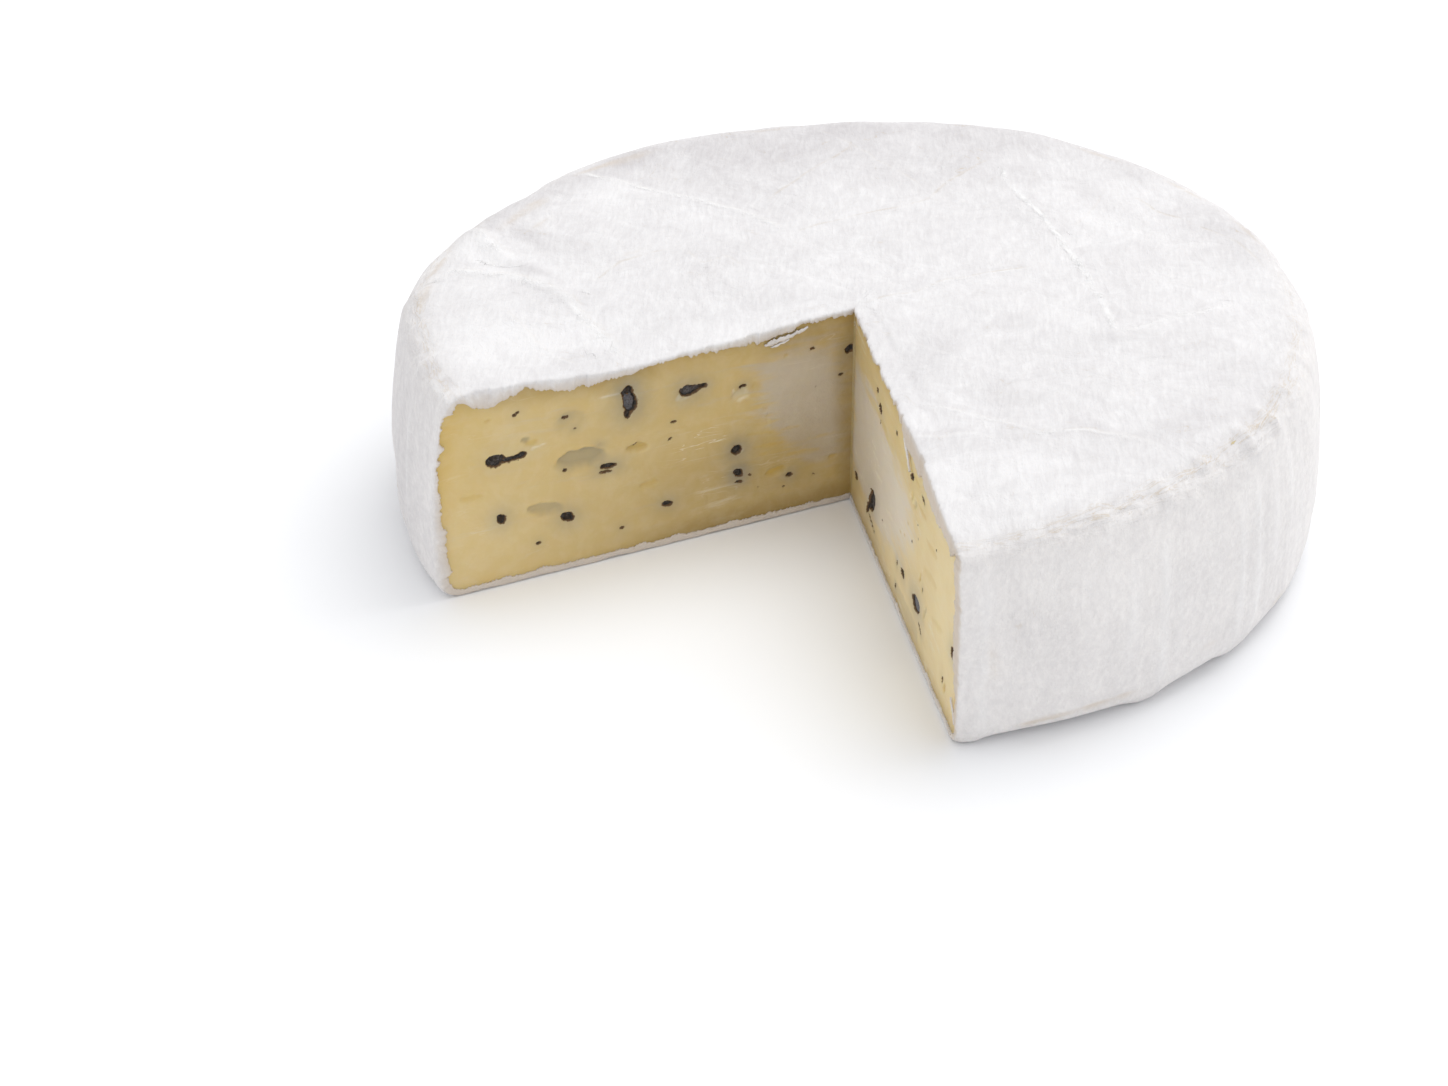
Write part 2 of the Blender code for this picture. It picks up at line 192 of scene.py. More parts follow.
# Bumps pushed up in the lip: bearing, half width in millimetres, height in millimetres.
lipBumps = [
    (-70, 2.4, 0.7), (-61.5, 2.6, 0.8), (-53, 2.3, 1.8), (-45.5, 1.8, 0.9), (-37.2, 2.5, 1.9),
    (-31, 1.9, 1.8), (-24, 2.2, 1), (-14, 2.8, 0.7), (-5, 2.6, 0.5), (183, 2.8, 0.8), (191.5, 3, 1.2),
    (200.5, 2.8, 1.1),
]
# Bearings where the foot is pressed flat down to the table, each with its half width in degrees.
footPresses = [
    (-77, 2), (-54.8, 2.6), (-39.5, 3.6), (-22, 9), (0, 9), (26, 8), (204, 5), (186, 4),
]
# Bearings where the foot turns in further than elsewhere: half width in degrees, strength.
footTucks = [
    (-66, 7.5, 1.15), (-47, 4.5, 0.9), (-31, 4, 0.5),
]
# A fold of the skin above the foot: bearings it begins and ends at, how soon it fades at the ends and
# where it is lowest in degrees, climb a degree, height, wander, half breadth and depth in millimetres.
footFold = {
    "begins": -73.0,
    "ends": -56.0,
    "fades": 4.0,
    "lowest": -65.0,
    "climb": 0.06,
    "height": 5.8,
    "wander": 1.2,
    "half": 1.3,
    "deep": 0.55,
}


# How strongly the lip is crumpled, round the wheel.
def lipCrumple(bearing):
    degrees = math.degrees(bearing) % 360
    front = math.exp(-(((degrees - 316) / 36) ** 2))
    left = math.exp(-(((degrees - 190) / 22) ** 2))
    return 0.10 + 0.90 * front + 0.70 * left


def bearingGap(bearing, degrees):
    return (bearing - math.radians(degrees) + math.pi) % math.tau - math.pi


def degreesTo(bearing, degrees):
    return math.degrees(bearingGap(bearing, degrees))


def footFill(bearing):
    uneven = noiseAt(math.cos(bearing) * 5, math.sin(bearing) * 5, 0, 31.0)
    fill = skinDetail["footFillLeast"] + skinDetail["footFillUneven"] * uneven
    for degrees, half in footPresses:
        fill = max(fill, 1.15 * math.exp(-((degreesTo(bearing, degrees) / half) ** 2)))
    for degrees, half, strength in footTucks:
        fill -= strength * math.exp(-((degreesTo(bearing, degrees) / half) ** 4))
    return min(1.0, max(-skinDetail["footTuckMost"], fill))


def footFoldAt(bearing, z):
    f = footFold
    degrees = degreesTo(bearing, 0.0)
    if not (f["begins"] < degrees < f["ends"]):
        return 0.0
    reach = smoothStep(f["begins"], f["begins"] + f["fades"], degrees)
    reach *= smoothStep(f["ends"], f["ends"] - f["fades"], degrees)
    high = z / mm - f["height"] - f["wander"] * noiseAt(degrees / 5, 0.0, 0.0, 17.0)
    high -= f["climb"] * (degrees - f["lowest"])
    return f["deep"] * mm * reach * math.exp(-((high / f["half"]) ** 2))


def sideRidge(bearing, z):
    height = 0.0
    for degrees, half, low, high, strength in sideRidges:
        gap = abs(bearingGap(bearing, degrees)) * wheel["radius"] / mm
        if gap < 8:
            gap += skinDetail["ridgeWander"] * noiseAt(z / 0.012, degrees, 0, 6.0)
            ends = smoothStep(low - 2, low + 7, z / mm) * smoothStep(high + 4, high - 6, z / mm)
            height = max(height, strength * ends * math.exp(-((gap / half) ** 2)))
    return height


def fineRelief(bearing, x, y, z, topness):
    d = skinDetail
    edge = 4.0 * topness * (1.0 - topness)
    top = 0.0
    if topness > 0.01:
        swirl = d["swirl"] * noiseAt(x / d["swirlSize"], y / d["swirlSize"], 0, 1.0)
        top = d["topSwell"] * noiseAt(x / d["topSwellSize"] + swirl, y / d["topSwellSize"], 0, 4.0)
        if x < d["topRidgesEnd"]:
            for tall, half, points in topRidges:
                top += tall * math.exp(-((gapToLine(x, y, points)[0] / half) ** 2))
        top += d["topLump"] * noiseAt(x / d["topLumpSize"], y / d["topLumpSize"] + 2 * swirl, 0, 9.0)
    relief = topness ** 3 * top
    around = bearing * wheel["radius"]
    drift = 0.7 * noiseAt(around / 0.025, z / 0.015, 0, 2.0)
    if edge > 0.01:
        across = z / d["lipCrinkleBreadth"] + 2 * drift
        crinkle = noiseAt(around / d["lipCrinkleLength"], across, topness * 3, 5.0)
        relief += edge * d["lipCrinkle"] * lipCrumple(bearing) * (0.5 - 2.0 * abs(crinkle))
        for degrees, half, height in lipBumps:
            gap = bearingGap(bearing, degrees) * wheel["radius"] / mm
            relief += edge * height * mm * math.exp(-((gap / half) ** 2))
    if topness < 0.99:
        lift = (1 - topness) * smoothStep(0.001, 0.010, z)
        pleat = noiseAt(around / d["pleatWidth"] + drift, z / d["pleatTall"], 0, 7.0)
        relief += lift * (d["pleat"] * pleat + d["ridgeHeight"] * sideRidge(bearing, z))
        relief -= footFoldAt(bearing, z)
    return relief


def skinRelief(bearing, x, y, z, topness):
    edge = 4.0 * topness * (1.0 - topness)
    roundIt = Vector((math.cos(bearing), math.sin(bearing), 0.0))
    climb = z * wheel["pleatDrift"]
    pleat = noise.noise(roundIt * wheel["pleatsRound"] + Vector((0, 0, climb)))
    pleat += 0.5 * noise.noise(roundIt * 2 * wheel["pleatsRound"] + Vector((3.0, 0, climb)))
    aboveBase = smoothStep(0.002, 0.012, z)
    side = (1.0 - topness) * aboveBase * wheel["pleatDepth"] * pleat
    for degrees, deep, half in wheel["sideDents"]:
        dent = deep * math.exp(-((bearingGap(bearing, degrees) * wheel["radius"] / half) ** 2))
        side -= dent * aboveBase * (1.0 - 0.6 * topness)
    lip = edge * wheel["lipLumpHeight"] * noise.noise(Vector((x, y, z)) / wheel["lipLumpSize"])
    lip *= 0.2 + 0.8 * smoothStep(0.02, -0.04, y)
    swell = wheel["swellHeight"] * noise.noise(Vector((x, y, 0.3)) / wheel["swellSize"])
    return side + lip + topness * (swell + foldsAt(x, y))


# From this lean on, a place of the turned wheel is on its flat top.
flatLean = 1.5707


# Moves a point of a plain turned wheel to its place on the uneven cheese.
# Returns the place, the way out of the skin there, how much it belongs to the top, and its bearing.
def shapeSkin(x, y, z, lean):
    radius = math.hypot(x, y)
    bearing = math.atan2(y, x)
    around = Vector((math.cos(bearing), math.sin(bearing), 0.0))
    out = around * math.cos(lean) + Vector((0, 0, math.sin(lean)))
    if z < 0.000001:
        grown = 1 + outlineShift(bearing) / wheel["radius"]
        grown += skinDetail["footFill"] * footFill(bearing) / 0.11  # 0.11 is about the flat base's radius
        return Vector((x * grown, y * grown, 0.0)), out, 0.0, bearing
    wide = wheel["lipWidth"] + wheel["farLipWider"] * math.sin(bearing)
    drop = wheel["lipDrop"] + wheel["farLipDeeper"] * math.sin(bearing)
    edgeHeight = wheel["height"] - wheel["lipDrop"]
    shift = outlineShift(bearing)
    turn = max(0.0, lean)
    topness = smoothStep(0.0, 1.0, turn / (math.pi / 2))
    if z > edgeHeight - 0.000001:
        flatRadius = wheel["radius"] - sideInset(wheel["height"]) - wheel["lipWidth"]
        if lean > flatLean:
            newRadius = radius * (flatRadius + shift + wheel["lipWidth"] - wide) / flatRadius
        else:
            newRadius = radius + shift - (wide - wheel["lipWidth"]) * (1 - math.cos(turn))
        newZ = wheel["height"] - drop + drop * math.sin(turn)
    else:
        newZ = z + smoothStep(0.0, edgeHeight, z) * (wheel["lipDrop"] - drop)
        newRadius = radius + shift
        if lean < 0:
            newRadius += skinDetail["footFill"] * footFill(bearing) * (1 - math.cos(lean))
    px = newRadius * around.x
    py = newRadius * around.y
    raised = around * math.cos(turn) + Vector((0, 0, math.sin(turn)))
    lift = skinRelief(bearing, px, py, newZ, topness) + fineRelief(bearing, px, py, newZ, topness)
    place = Vector((px, py, newZ)) + raised * lift
    place.z -= slumpAt(px, py) * (newZ / wheel["height"]) ** 2
    return place, out, topness, bearing


# Rows of the skin from the middle of the top to the middle of the base:
# share of the way out, radius, height and lean of each.
def skinRows(topRows, lipRows, sideRows, footRows, baseRows):
    height = wheel["height"]
    flat = wheel["radius"] - sideInset(height) - wheel["lipWidth"]
    edge = height - wheel["lipDrop"]
    foot = wheel["footRise"]
    rows = [(step / topRows, flat, height, math.pi / 2) for step in range(topRows)]
    for step in range(lipRows + 1):
        turn = math.pi / 2 * (1 - step / lipRows)
        z = edge + wheel["lipDrop"] * math.sin(turn)
        radius = wheel["radius"] - sideInset(z) - wheel["lipWidth"] * (1 - math.cos(turn))
        rows.append((1.0, radius, z, turn))
    for step in range(1, sideRows):
        z = mix(edge, foot, step / sideRows)
        rows.append((1.0, wheel["radius"] - sideInset(z), z, 0.0))
    for step in range(footRows + 1):
        turn = math.pi / 2 * step / footRows
        z = foot * (1 - math.sin(turn))
        radius = wheel["radius"] - sideInset(z) - wheel["footWidth"] * (1 - math.cos(turn))
        rows.append((1.0, radius, z, -turn))
    rows += [(1 - step / baseRows, radius, 0.0, -math.pi / 2) for step in range(1, baseRows + 1)]
    return rows


# Length of a line from start to a circle round the wheel's middle.
def reachTo(start, bearing, radius):
    along = start.x * math.cos(bearing) + start.y * math.sin(bearing)
    return -along + math.sqrt(max(0.0, radius ** 2 - start.length_squared + along ** 2))


def skinPoint(start, bearing, row):
    share, radius, z, lean = row
    reach = share * reachTo(start, bearing, radius)
    x = start.x + reach * math.cos(bearing)
    y = start.y + reach * math.sin(bearing)
    return *shapeSkin(x, y, z, lean), downFromLip(math.hypot(x, y), z, lean)


# The notch's point, moved back so that both cuts lie this far inside the cheese.
def notchStart(inside):
    return notchPoint + backWay * (inside / math.sin(halfNotch))


# One of the two cuts: its bearing, the way out along it, the way into the cheese, its inner corner.
def cutFrame(side):
    bearing, turn = (leftCut, 1) if side == "left" else (rightCut, -1)
    along = Vector((math.cos(bearing), math.sin(bearing), 0.0))
    inward = Vector((math.sin(bearing), -math.cos(bearing), 0.0)) * turn
    return bearing, along, inward, Vector((notchPoint.x, notchPoint.y, 0.0))


def newGrid(columns, rows):
    grid = bmesh.new()
    bmesh.ops.create_grid(grid, x_segments=columns, y_segments=rows, size=0.5)
    return grid


def gridPlace(vert, columns, rows):
    return round((vert.co.x + 0.5) * columns), round((vert.co.y + 0.5) * rows)


def finishPiece(name, shape, material, weld=0.000002):
    if weld:
        bmesh.ops.remove_doubles(shape, verts=shape.verts, dist=weld)
    bmesh.ops.recalc_face_normals(shape, faces=shape.faces)
    if shape.calc_volume(signed=True) < 0:
        bmesh.ops.reverse_faces(shape, faces=shape.faces)
    mesh = bpy.data.meshes.new(name)
    for face in shape.faces:
        face.smooth = True
    shape.to_mesh(mesh)
    shape.free()
    mesh.materials.append(material)
    piece = bpy.data.objects.new(name, mesh)
    bpy.context.scene.collection.objects.link(piece)
    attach(piece, "root")
    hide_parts("cheese_wheel")
    triangles = sum(len(face.vertices) - 2 for face in mesh.polygons)
    print(f"cheese: {name} made, {triangles} triangles")


# A new material, its node tree, its Principled shader, and the piece's own coordinates.
def newMaterial(name, surface):
    material = bpy.data.materials.new(name)
    material.use_nodes = True
    tree = material.node_tree
    shader = tree.nodes["Principled BSDF"]
    for socket, value in surface.items():
        shader.inputs[socket].default_value = value
    return material, tree, shader, addNode(tree, "ShaderNodeTexCoord").outputs["Object"]


def addNode(tree, kind, inputs=None, **settings):
    node = tree.nodes.new(kind)
    for key, value in settings.items():
        setattr(node, key, value)
    for key, value in (inputs or {}).items():
        if isinstance(value, bpy.types.NodeSocket):
            tree.links.new(value, node.inputs[key])
        else:
            node.inputs[key].default_value = value
    return node


def maths(tree, operation, first, second=0.5, third=None, clamp=False):
    inputs = {0: first, 1: second}
    if third is not None:
        inputs[2] = third
    return addNode(tree, "ShaderNodeMath", inputs, operation=operation, use_clamp=clamp).outputs[0]


def mapRange(tree, value, low, high, toLow=0.0, toHigh=1.0):
    inputs = {"Value": value, "From Min": low, "From Max": high, "To Min": toLow, "To Max": toHigh}
    return addNode(tree, "ShaderNodeMapRange", inputs, interpolation_type="SMOOTHSTEP").outputs[0]


def times(tree, first, second, clamp=False):
    return maths(tree, "MULTIPLY", first, second, clamp=clamp)


def vectorMaths(tree, operation, inputs):
    return addNode(tree, "ShaderNodeVectorMath", inputs, operation=operation).outputs[0]


# How far a value is from a middle.
def away(tree, value, middle):
    return maths(tree, "ABSOLUTE", maths(tree, "SUBTRACT", value, middle))


# The base moved up and down by a noise of 0 to 1.
def sway(tree, noise01, amount, base, clamp=False):
    return maths(tree, "MULTIPLY_ADD", maths(tree, "SUBTRACT", noise01, 0.5), amount, base, clamp)


def setOrLink(tree, socket, value):
    if isinstance(value, bpy.types.NodeSocket):
        tree.links.new(value, socket)
    else:
        socket.default_value = (*value, 1.0) if isinstance(value, tuple) else value


def mixColour(tree, share, first, second):
    node = addNode(tree, "ShaderNodeMix", data_type="RGBA")
    for index, value in ((0, share), (6, first), (7, second)):
        setOrLink(tree, node.inputs[index], value)
    return node.outputs[2]


def mixValue(tree, share, first, second):
    node = addNode(tree, "ShaderNodeMix", data_type="FLOAT")
    for index, value in ((0, share), (2, first), (3, second)):
        setOrLink(tree, node.inputs[index], value)
    return node.outputs[0]


def tint(tree, colour, mark, strength, towards):
    return mixColour(tree, times(tree, mark, strength, clamp=True), colour, towards)


def noiseOf(tree, vector, scale, detail, roughness=0.5, distortion=0.0, output="Fac"):
    inputs = {"Vector": vector, "Scale": scale, "Detail": detail}
    inputs.update({"Roughness": roughness, "Distortion": distortion})
    return addNode(tree, "ShaderNodeTexNoise", inputs).outputs[output]


def stretched(tree, vector, scale, turn=(0.0, 0.0, 0.0)):
    inputs = {"Vector": vector, "Rotation": turn, "Scale": scale}
    return addNode(tree, "ShaderNodeMapping", inputs).outputs[0]


# Bumps laid one on another. Each amount is a distance in metres and a strength.
def bumpsOn(tree, shader, heights, amounts):
    normal = None
    for name, height in heights.items():
        distance, strength = amounts[name]
        inputs = {"Height": height, "Distance": distance, "Strength": strength}
        if normal is not None:
            inputs["Normal"] = normal
        normal = addNode(tree, "ShaderNodeBump", inputs).outputs["Normal"]
    tree.links.new(normal, shader.inputs["Normal"])


def attribute(tree, name):
    return addNode(tree, "ShaderNodeAttribute", attribute_name=name).outputs["Fac"]


def startGroup(name, inputs, outputs):
    group = bpy.data.node_groups.new(name, "ShaderNodeTree")
    for label, kind, value in inputs:
        socket = group.interface.new_socket(name=label, in_out="INPUT", socket_type=kind)
        if value is not None:
            socket.default_value = value
    for label in outputs:
        group.interface.new_socket(name=label, in_out="OUTPUT", socket_type="NodeSocketFloat")
    entry = group.nodes.new("NodeGroupInput")
    leave = group.nodes.new("NodeGroupOutput")
    return group, entry, leave


def useGroup(tree, group, output, **inputs):
    node = tree.nodes.new("ShaderNodeGroup")
    node.node_tree = group
    for key, value in inputs.items():
        setOrLink(tree, node.inputs[key], value)
    return node.outputs[output]


# The place, moved a little by a coarse noise.
def bentPlace(group, place, scale, detail, amount):
    bend = noiseOf(group, place, scale, detail, output="Color")
    push = vectorMaths(group, "SUBTRACT", {0: bend, 1: (0.5, 0.5, 0.5)})
    push = vectorMaths(group, "SCALE", {0: push, "Scale": amount})
    return vectorMaths(group, "ADD", {0: place, 1: push})


# Soft patches of two sizes, 0 to 1.
def makePatches():
    inputs = [
        ("Vector", "NodeSocketVector", None), ("Size", "NodeSocketFloat", 30.0),
        ("Low", "NodeSocketFloat", 0.35), ("High", "NodeSocketFloat", 0.65),
    ]
    group, entry, leave = startGroup("softPatches", inputs, ["Mask"])
    moved = bentPlace(group, entry.outputs["Vector"], 60.0, 2.0, 0.012)
    patch = noiseOf(group, moved, entry.outputs["Size"], 5.0, 0.62)
    mask = mapRange(group, patch, entry.outputs["Low"], entry.outputs["High"])
    group.links.new(mask, leave.inputs["Mask"])
    return group


# Short matted threads: two sets of drawn-out noise laid across each other.
def makeThreads():
    inputs = [
        ("Vector", "NodeSocketVector", None), ("Scale", "NodeSocketFloat", 900.0),
        ("Swirl", "NodeSocketFloat", 0.004),
    ]
    group, entry, leave = startGroup("mattedThreads", inputs, ["Height"])
    moved = bentPlace(group, entry.outputs["Vector"], 32.0, 3.0, entry.outputs["Swirl"])
    layers = []
    for turn, stretch in (((0.3, 0.2, 0.5), (1.0, 0.16, 0.6)), ((-0.4, 0.1, 2.0), (1.0, 0.20, 0.7))):
        lie = stretched(group, moved, stretch, turn)
        layers.append(noiseOf(group, lie, entry.outputs["Scale"], 3.0, 0.6))
    level = times(group, times(group, *layers), 4.0)
    group.links.new(maths(group, "SUBTRACT", level, 0.5, clamp=True), leave.inputs["Height"])
    return group


softPatches = makePatches()
mattedThreads = makeThreads()


rindLook = {
    "white": (0.815, 0.805, 0.812),
    "shade": (0.560, 0.538, 0.548),
    # The side's white is lighter and warmer than the top's: painted light on the side, which gets less and
    # bluer light.
    "sideWhite": (0.848, 0.824, 0.812),
    # The colour of the painted highlight on the side's ridges and along the creases.
    "ridgeHighlight": (0.872, 0.864, 0.866),
    "vein": (0.56, 0.46, 0.33),
    "stain": (0.56, 0.43, 0.26),
    "tornEdge": (0.62, 0.530, 0.435),
    "baseDim": 0.27,
    # How strongly each shows. Clouds and smudges have one value for the top and one for the side.
    "clouds": (0.62, 0.36),
    "smudges": (0.72, 0.28),
    "fuzz": 0.27,
    "streaks": 0.50,
    # Painted highlight on the side's ridges and the creases, and painted shade beside the creases.
    "sideRidges": 0.40,
    "creaseHighlights": 0.85,
    "creaseShade": 0.16,
    "veins": 0.42,
    "stains": 0.36,
    "surface": {
        "Roughness": 0.9,
        "Specular IOR Level": 0.2,
        "Subsurface Weight": 0.15,
        "Subsurface Radius": (1.0, 0.95, 0.9),
        "Subsurface Scale": 0.0005,
        "Sheen Weight": 0.10,
        "Sheen Roughness": 0.6,
    },
    "bumps": {
        "creases": (0.00034, 1.0),
        "veins": (-0.00020, 1.0),
        "clouds": (0.0040, 0.35),
        "smudges": (0.0011, 0.34),
        "streaks": (0.0018, 0.30),
        "wisps": (0.0016, 0.4),
        "fuzz": (0.00022, 0.5),
    },
}


def makeRind():
    look = rindLook
    material, tree, shader, place = newMaterial("downyRind", look["surface"])
    side = attribute(tree, "side")
    # Way round the wheel and down its side, for what follows the skin.
    ways = {"X": attribute(tree, "around"), "Y": attribute(tree, "down")}
    wrap = addNode(tree, "ShaderNodeCombineXYZ", ways).outputs[0]
    streaks = noiseOf(tree, stretched(tree, wrap, (0.20, 0.045, 1.0)), 1.0, 6.0, 0.60, 0.9)
    wisps = noiseOf(tree, stretched(tree, wrap, (0.10, 0.45, 1.0)), 1.0, 4.0, 0.6, 1.2)
    # Matted down in three sizes: clouds, smudges and fuzz.
    clouds = noiseOf(tree, place, 34.0, 7.0, 0.60, 1.4)
    smudges = noiseOf(tree, place, 130.0, 6.0, 0.66, 1.0)
    fuzz = useGroup(tree, mattedThreads, "Height", Vector=place, Scale=900.0, Swirl=0.006)
    shade = sway(tree, clouds, mixValue(tree, side, *look["clouds"]), look["baseDim"])
    shade = sway(tree, smudges, mixValue(tree, side, *look["smudges"]), shade)
    shade = sway(tree, fuzz, -look["fuzz"], shade)
    shade = maths(tree, "ADD", shade, attribute(tree, "dim"))
    shade = sway(tree, streaks, times(tree, side, look["streaks"]), shade, clamp=True)
    white = mixColour(tree, side, look["white"], look["sideWhite"])
    colour = mixColour(tree, shade, white, look["shade"])
    # Painted highlight on the side's upright ridges.
    colour = tint(tree, colour, attribute(tree, "ridgeHighlight"), look["sideRidges"], look["ridgeHighlight"])
    # Creases: a painted highlight along the ridge, beside it a softer band of painted shade, and often a
    # thin brown vein.
    gap = attribute(tree, "creaseGap")
    uneven = times(tree, attribute(tree, "creaseWeight"), mapRange(tree, smudges, 0.38, 0.62, 0.35, 1.0))
    ridgeHighlight = times(tree, mapRange(tree, away(tree, gap, 0.0), 1.3, 0.1), uneven)
    grooveShade = times(tree, mapRange(tree, away(tree, gap, 2.1), 2.0, 0.0), uneven)
    colour = tint(tree, colour, grooveShade, look["creaseShade"], look["shade"])
    colour = tint(tree, colour, ridgeHighlight, look["creaseHighlights"], look["ridgeHighlight"])
    vein = mapRange(tree, away(tree, attribute(tree, "veinGap"), 0.0), 0.75, 0.0)
    vein = times(tree, vein, attribute(tree, "veinWeight"))
    vein = times(tree, vein, mapRange(tree, smudges, 0.42, 0.56, 0.15, 1.0))
    colour = tint(tree, colour, vein, look["veins"], look["vein"])
    # Hair-fine brown threads here and there, and more of them where the skin is dim.
    bent = noiseOf(tree, place, 60.0, 3.0, 0.5, 1.6)
    hair = mapRange(tree, away(tree, bent, 0.5), 0.009, 0.0)
    hair = times(tree, hair, mapRange(tree, clouds, 0.50, 0.62))
    hair = times(tree, hair, mapRange(tree, smudges, 0.46, 0.60))
    hairy = mapRange(tree, attribute(tree, "dim"), 0.05, 0.32, 0.30, 0.85)
    colour = tint(tree, colour, hair, hairy, look["vein"])
    # Beige staining: a thin line that wanders along the lip, specks round it, and specks at the foot.
    stained = attribute(tree, "stain")
    wander = maths(tree, "MULTIPLY_ADD", wisps, 16.0, -2.2)
    lipLine = mapRange(tree, away(tree, attribute(tree, "down"), wander), 0.65, 0.0)
    lines = mapRange(tree, away(tree, wisps, 0.52), 0.020, 0.0)
    lines = maths(tree, "MULTIPLY_ADD", lines, 0.45, lipLine)
    lines = times(tree, lines, mapRange(tree, smudges, 0.40, 0.54, 0.4, 1.0))
    colour = tint(tree, colour, times(tree, lines, stained), look["stains"], look["stain"])
    torn = attribute(tree, "torn")
    patchy = mapRange(tree, maths(tree, "MULTIPLY_ADD", torn, 0.5, smudges), 0.52, 0.76, 0.30, 0.85)
    colour = tint(tree, colour, torn, patchy, look["tornEdge"])
    tree.links.new(colour, shader.inputs["Base Color"])
    heights = {
        "creases": maths(tree, "MULTIPLY_ADD", grooveShade, -0.35, ridgeHighlight),
        "veins": vein,
        "clouds": clouds,
        "smudges": smudges,
        "streaks": times(tree, streaks, side),
        "wisps": times(tree, wisps, stained),
        "fuzz": fuzz,
    }
    bumpsOn(tree, shader, heights, look["bumps"])
    return material


pasteLook = {
    "cream": (0.790, 0.645, 0.350),
    "shadeCream": (0.620, 0.475, 0.215),
    "deep": (0.640, 0.455, 0.165),
    "oliveShade": (0.360, 0.245, 0.078),
    "chalk": (0.730, 0.665, 0.570),
    "shadeChalk": (0.560, 0.492, 0.400),
    "pale": (0.860, 0.800, 0.640),
    "glaze": (0.60, 0.41, 0.08),
    "halo": (0.27, 0.255, 0.215),
    "hollow": (0.365, 0.305, 0.185),
    "mould": (0.032, 0.027, 0.022),
    "pitWall": (0.13, 0.07, 0.028),
    # How strongly each shows.
    "edgeDeep": 0.70,
    "patches": 0.30,
    "chalkiness": 0.88,
    "smears": 0.5,
    "grains": 0.10,
    "wetRoughness": 0.40,
    "dryRoughness": 0.70,
    "pitRoughness": 0.75,
    "surface": {
        "Specular IOR Level": 0.4,
        "Subsurface Weight": 0.55,
        "Subsurface Radius": (1.0, 0.72, 0.35),
        "Subsurface Scale": 0.0022,
    },
    "bumps": {"drags": (0.0005, 0.35), "crumb": (0.00025, 0.5)},
}


def makePaste():
    look = pasteLook
    material, tree, shader, place = newMaterial("creamyPaste", look["surface"])
    patches = useGroup(tree, softPatches, "Mask", Vector=place, Size=45.0, Low=0.35, High=0.70)
    grains = useGroup(tree, softPatches, "Mask", Vector=place, Size=240.0, Low=0.35, High=0.70)
    level = stretched(tree, place, (0.14, 0.14, 1.0))
    drags = noiseOf(tree, level, 300.0, 6.0, 0.6, 0.8)
    tone = attribute(tree, "tone")
    # Deeper yellow within 7 mm of the rind: partly the paste's own colour, partly painted shade under the
    # rind's edge.
    deep = mapRange(tree, attribute(tree, "edge"), 7.0, 0.0, 0.0, look["edgeDeep"])
    deep = maths(tree, "MULTIPLY_ADD", patches, look["patches"], deep, clamp=True)
    # Painted shade: tone turns the cream, and the chalk below, towards their shaded copies.
    colour = mixColour(tree, tone, look["cream"], look["shadeCream"])
    colour = mixColour(tree, deep, colour, look["deep"])
    # The chalky middle has a soft streaky edge.
    chalky = mapRange(tree, sway(tree, drags, 1.8, attribute(tree, "chalk")), 0.08, 0.92)
    chalk = mixColour(tree, tone, look["chalk"], look["shadeChalk"])
    colour = tint(tree, colour, chalky, look["chalkiness"], chalk)
    # Painted shade, partly the paste's own darker colour: low darkens towards olive under the rind, along
    # the bottom and by the notch's point.
    colour = mixColour(tree, attribute(tree, "low"), colour, look["oliveShade"])
    smeared = attribute(tree, "smear")
    smear = times(tree, mapRange(tree, drags, 0.56, 0.70), smeared)
    colour = tint(tree, colour, smear, look["smears"], look["pale"])
    # Fine pale scratches of the knife.
    scratch = mapRange(tree, away(tree, noiseOf(tree, level, 460.0, 2.0, 0.5, 0.5), 0.5), 0.016, 0.0)
    scratch = times(tree, scratch, smeared)
    colour = tint(tree, colour, scratch, mapRange(tree, patches, 0.25, 0.75, 0.1, 0.8), look["pale"])
    colour = tint(tree, colour, grains, look["grains"], look["pale"])
    for mark in ("pale", "glaze", "hollow", "halo"):
        colour = mixColour(tree, attribute(tree, mark), colour, look[mark])
    # Mould: crisp torn outlines, brown at the rim and black inside.
    gap = sway(tree, noiseOf(tree, place, 1500.0, 3.0, 0.6), 0.7, attribute(tree, "mouldGap"))
    colour = mixColour(tree, mapRange(tree, gap, 0.20, -0.04), colour, look["pitWall"])
    colour = mixColour(tree, mapRange(tree, gap, -0.10, -0.42), colour, look["mould"])
    tree.links.new(colour, shader.inputs["Base Color"])
    crumbly = maths(tree, "MULTIPLY_ADD", chalky, 0.75, 0.25)
    crumb = times(tree, noiseOf(tree, place, 900.0, 4.0, 0.7), crumbly)
    bumpsOn(tree, shader, {"drags": drags, "crumb": crumb}, look["bumps"])
    wet = mixValue(tree, chalky, look["wetRoughness"], look["dryRoughness"])
    wet = mixValue(tree, mapRange(tree, gap, 0.1, -0.2), wet, look["pitRoughness"])
    tree.links.new(wet, shader.inputs["Roughness"])
    return material


mouldLook = {
    "dark": (0.030, 0.025, 0.021),
    "down": (0.130, 0.120, 0.118),
    "brown": (0.080, 0.045, 0.022),
    "bloom": (0.235, 0.235, 0.265),
    "browning": 0.5,
    "surface": {"Roughness": 0.85, "Specular IOR Level": 0.25},
    "bumps": {"threads": (0.0003, 0.8)},
}


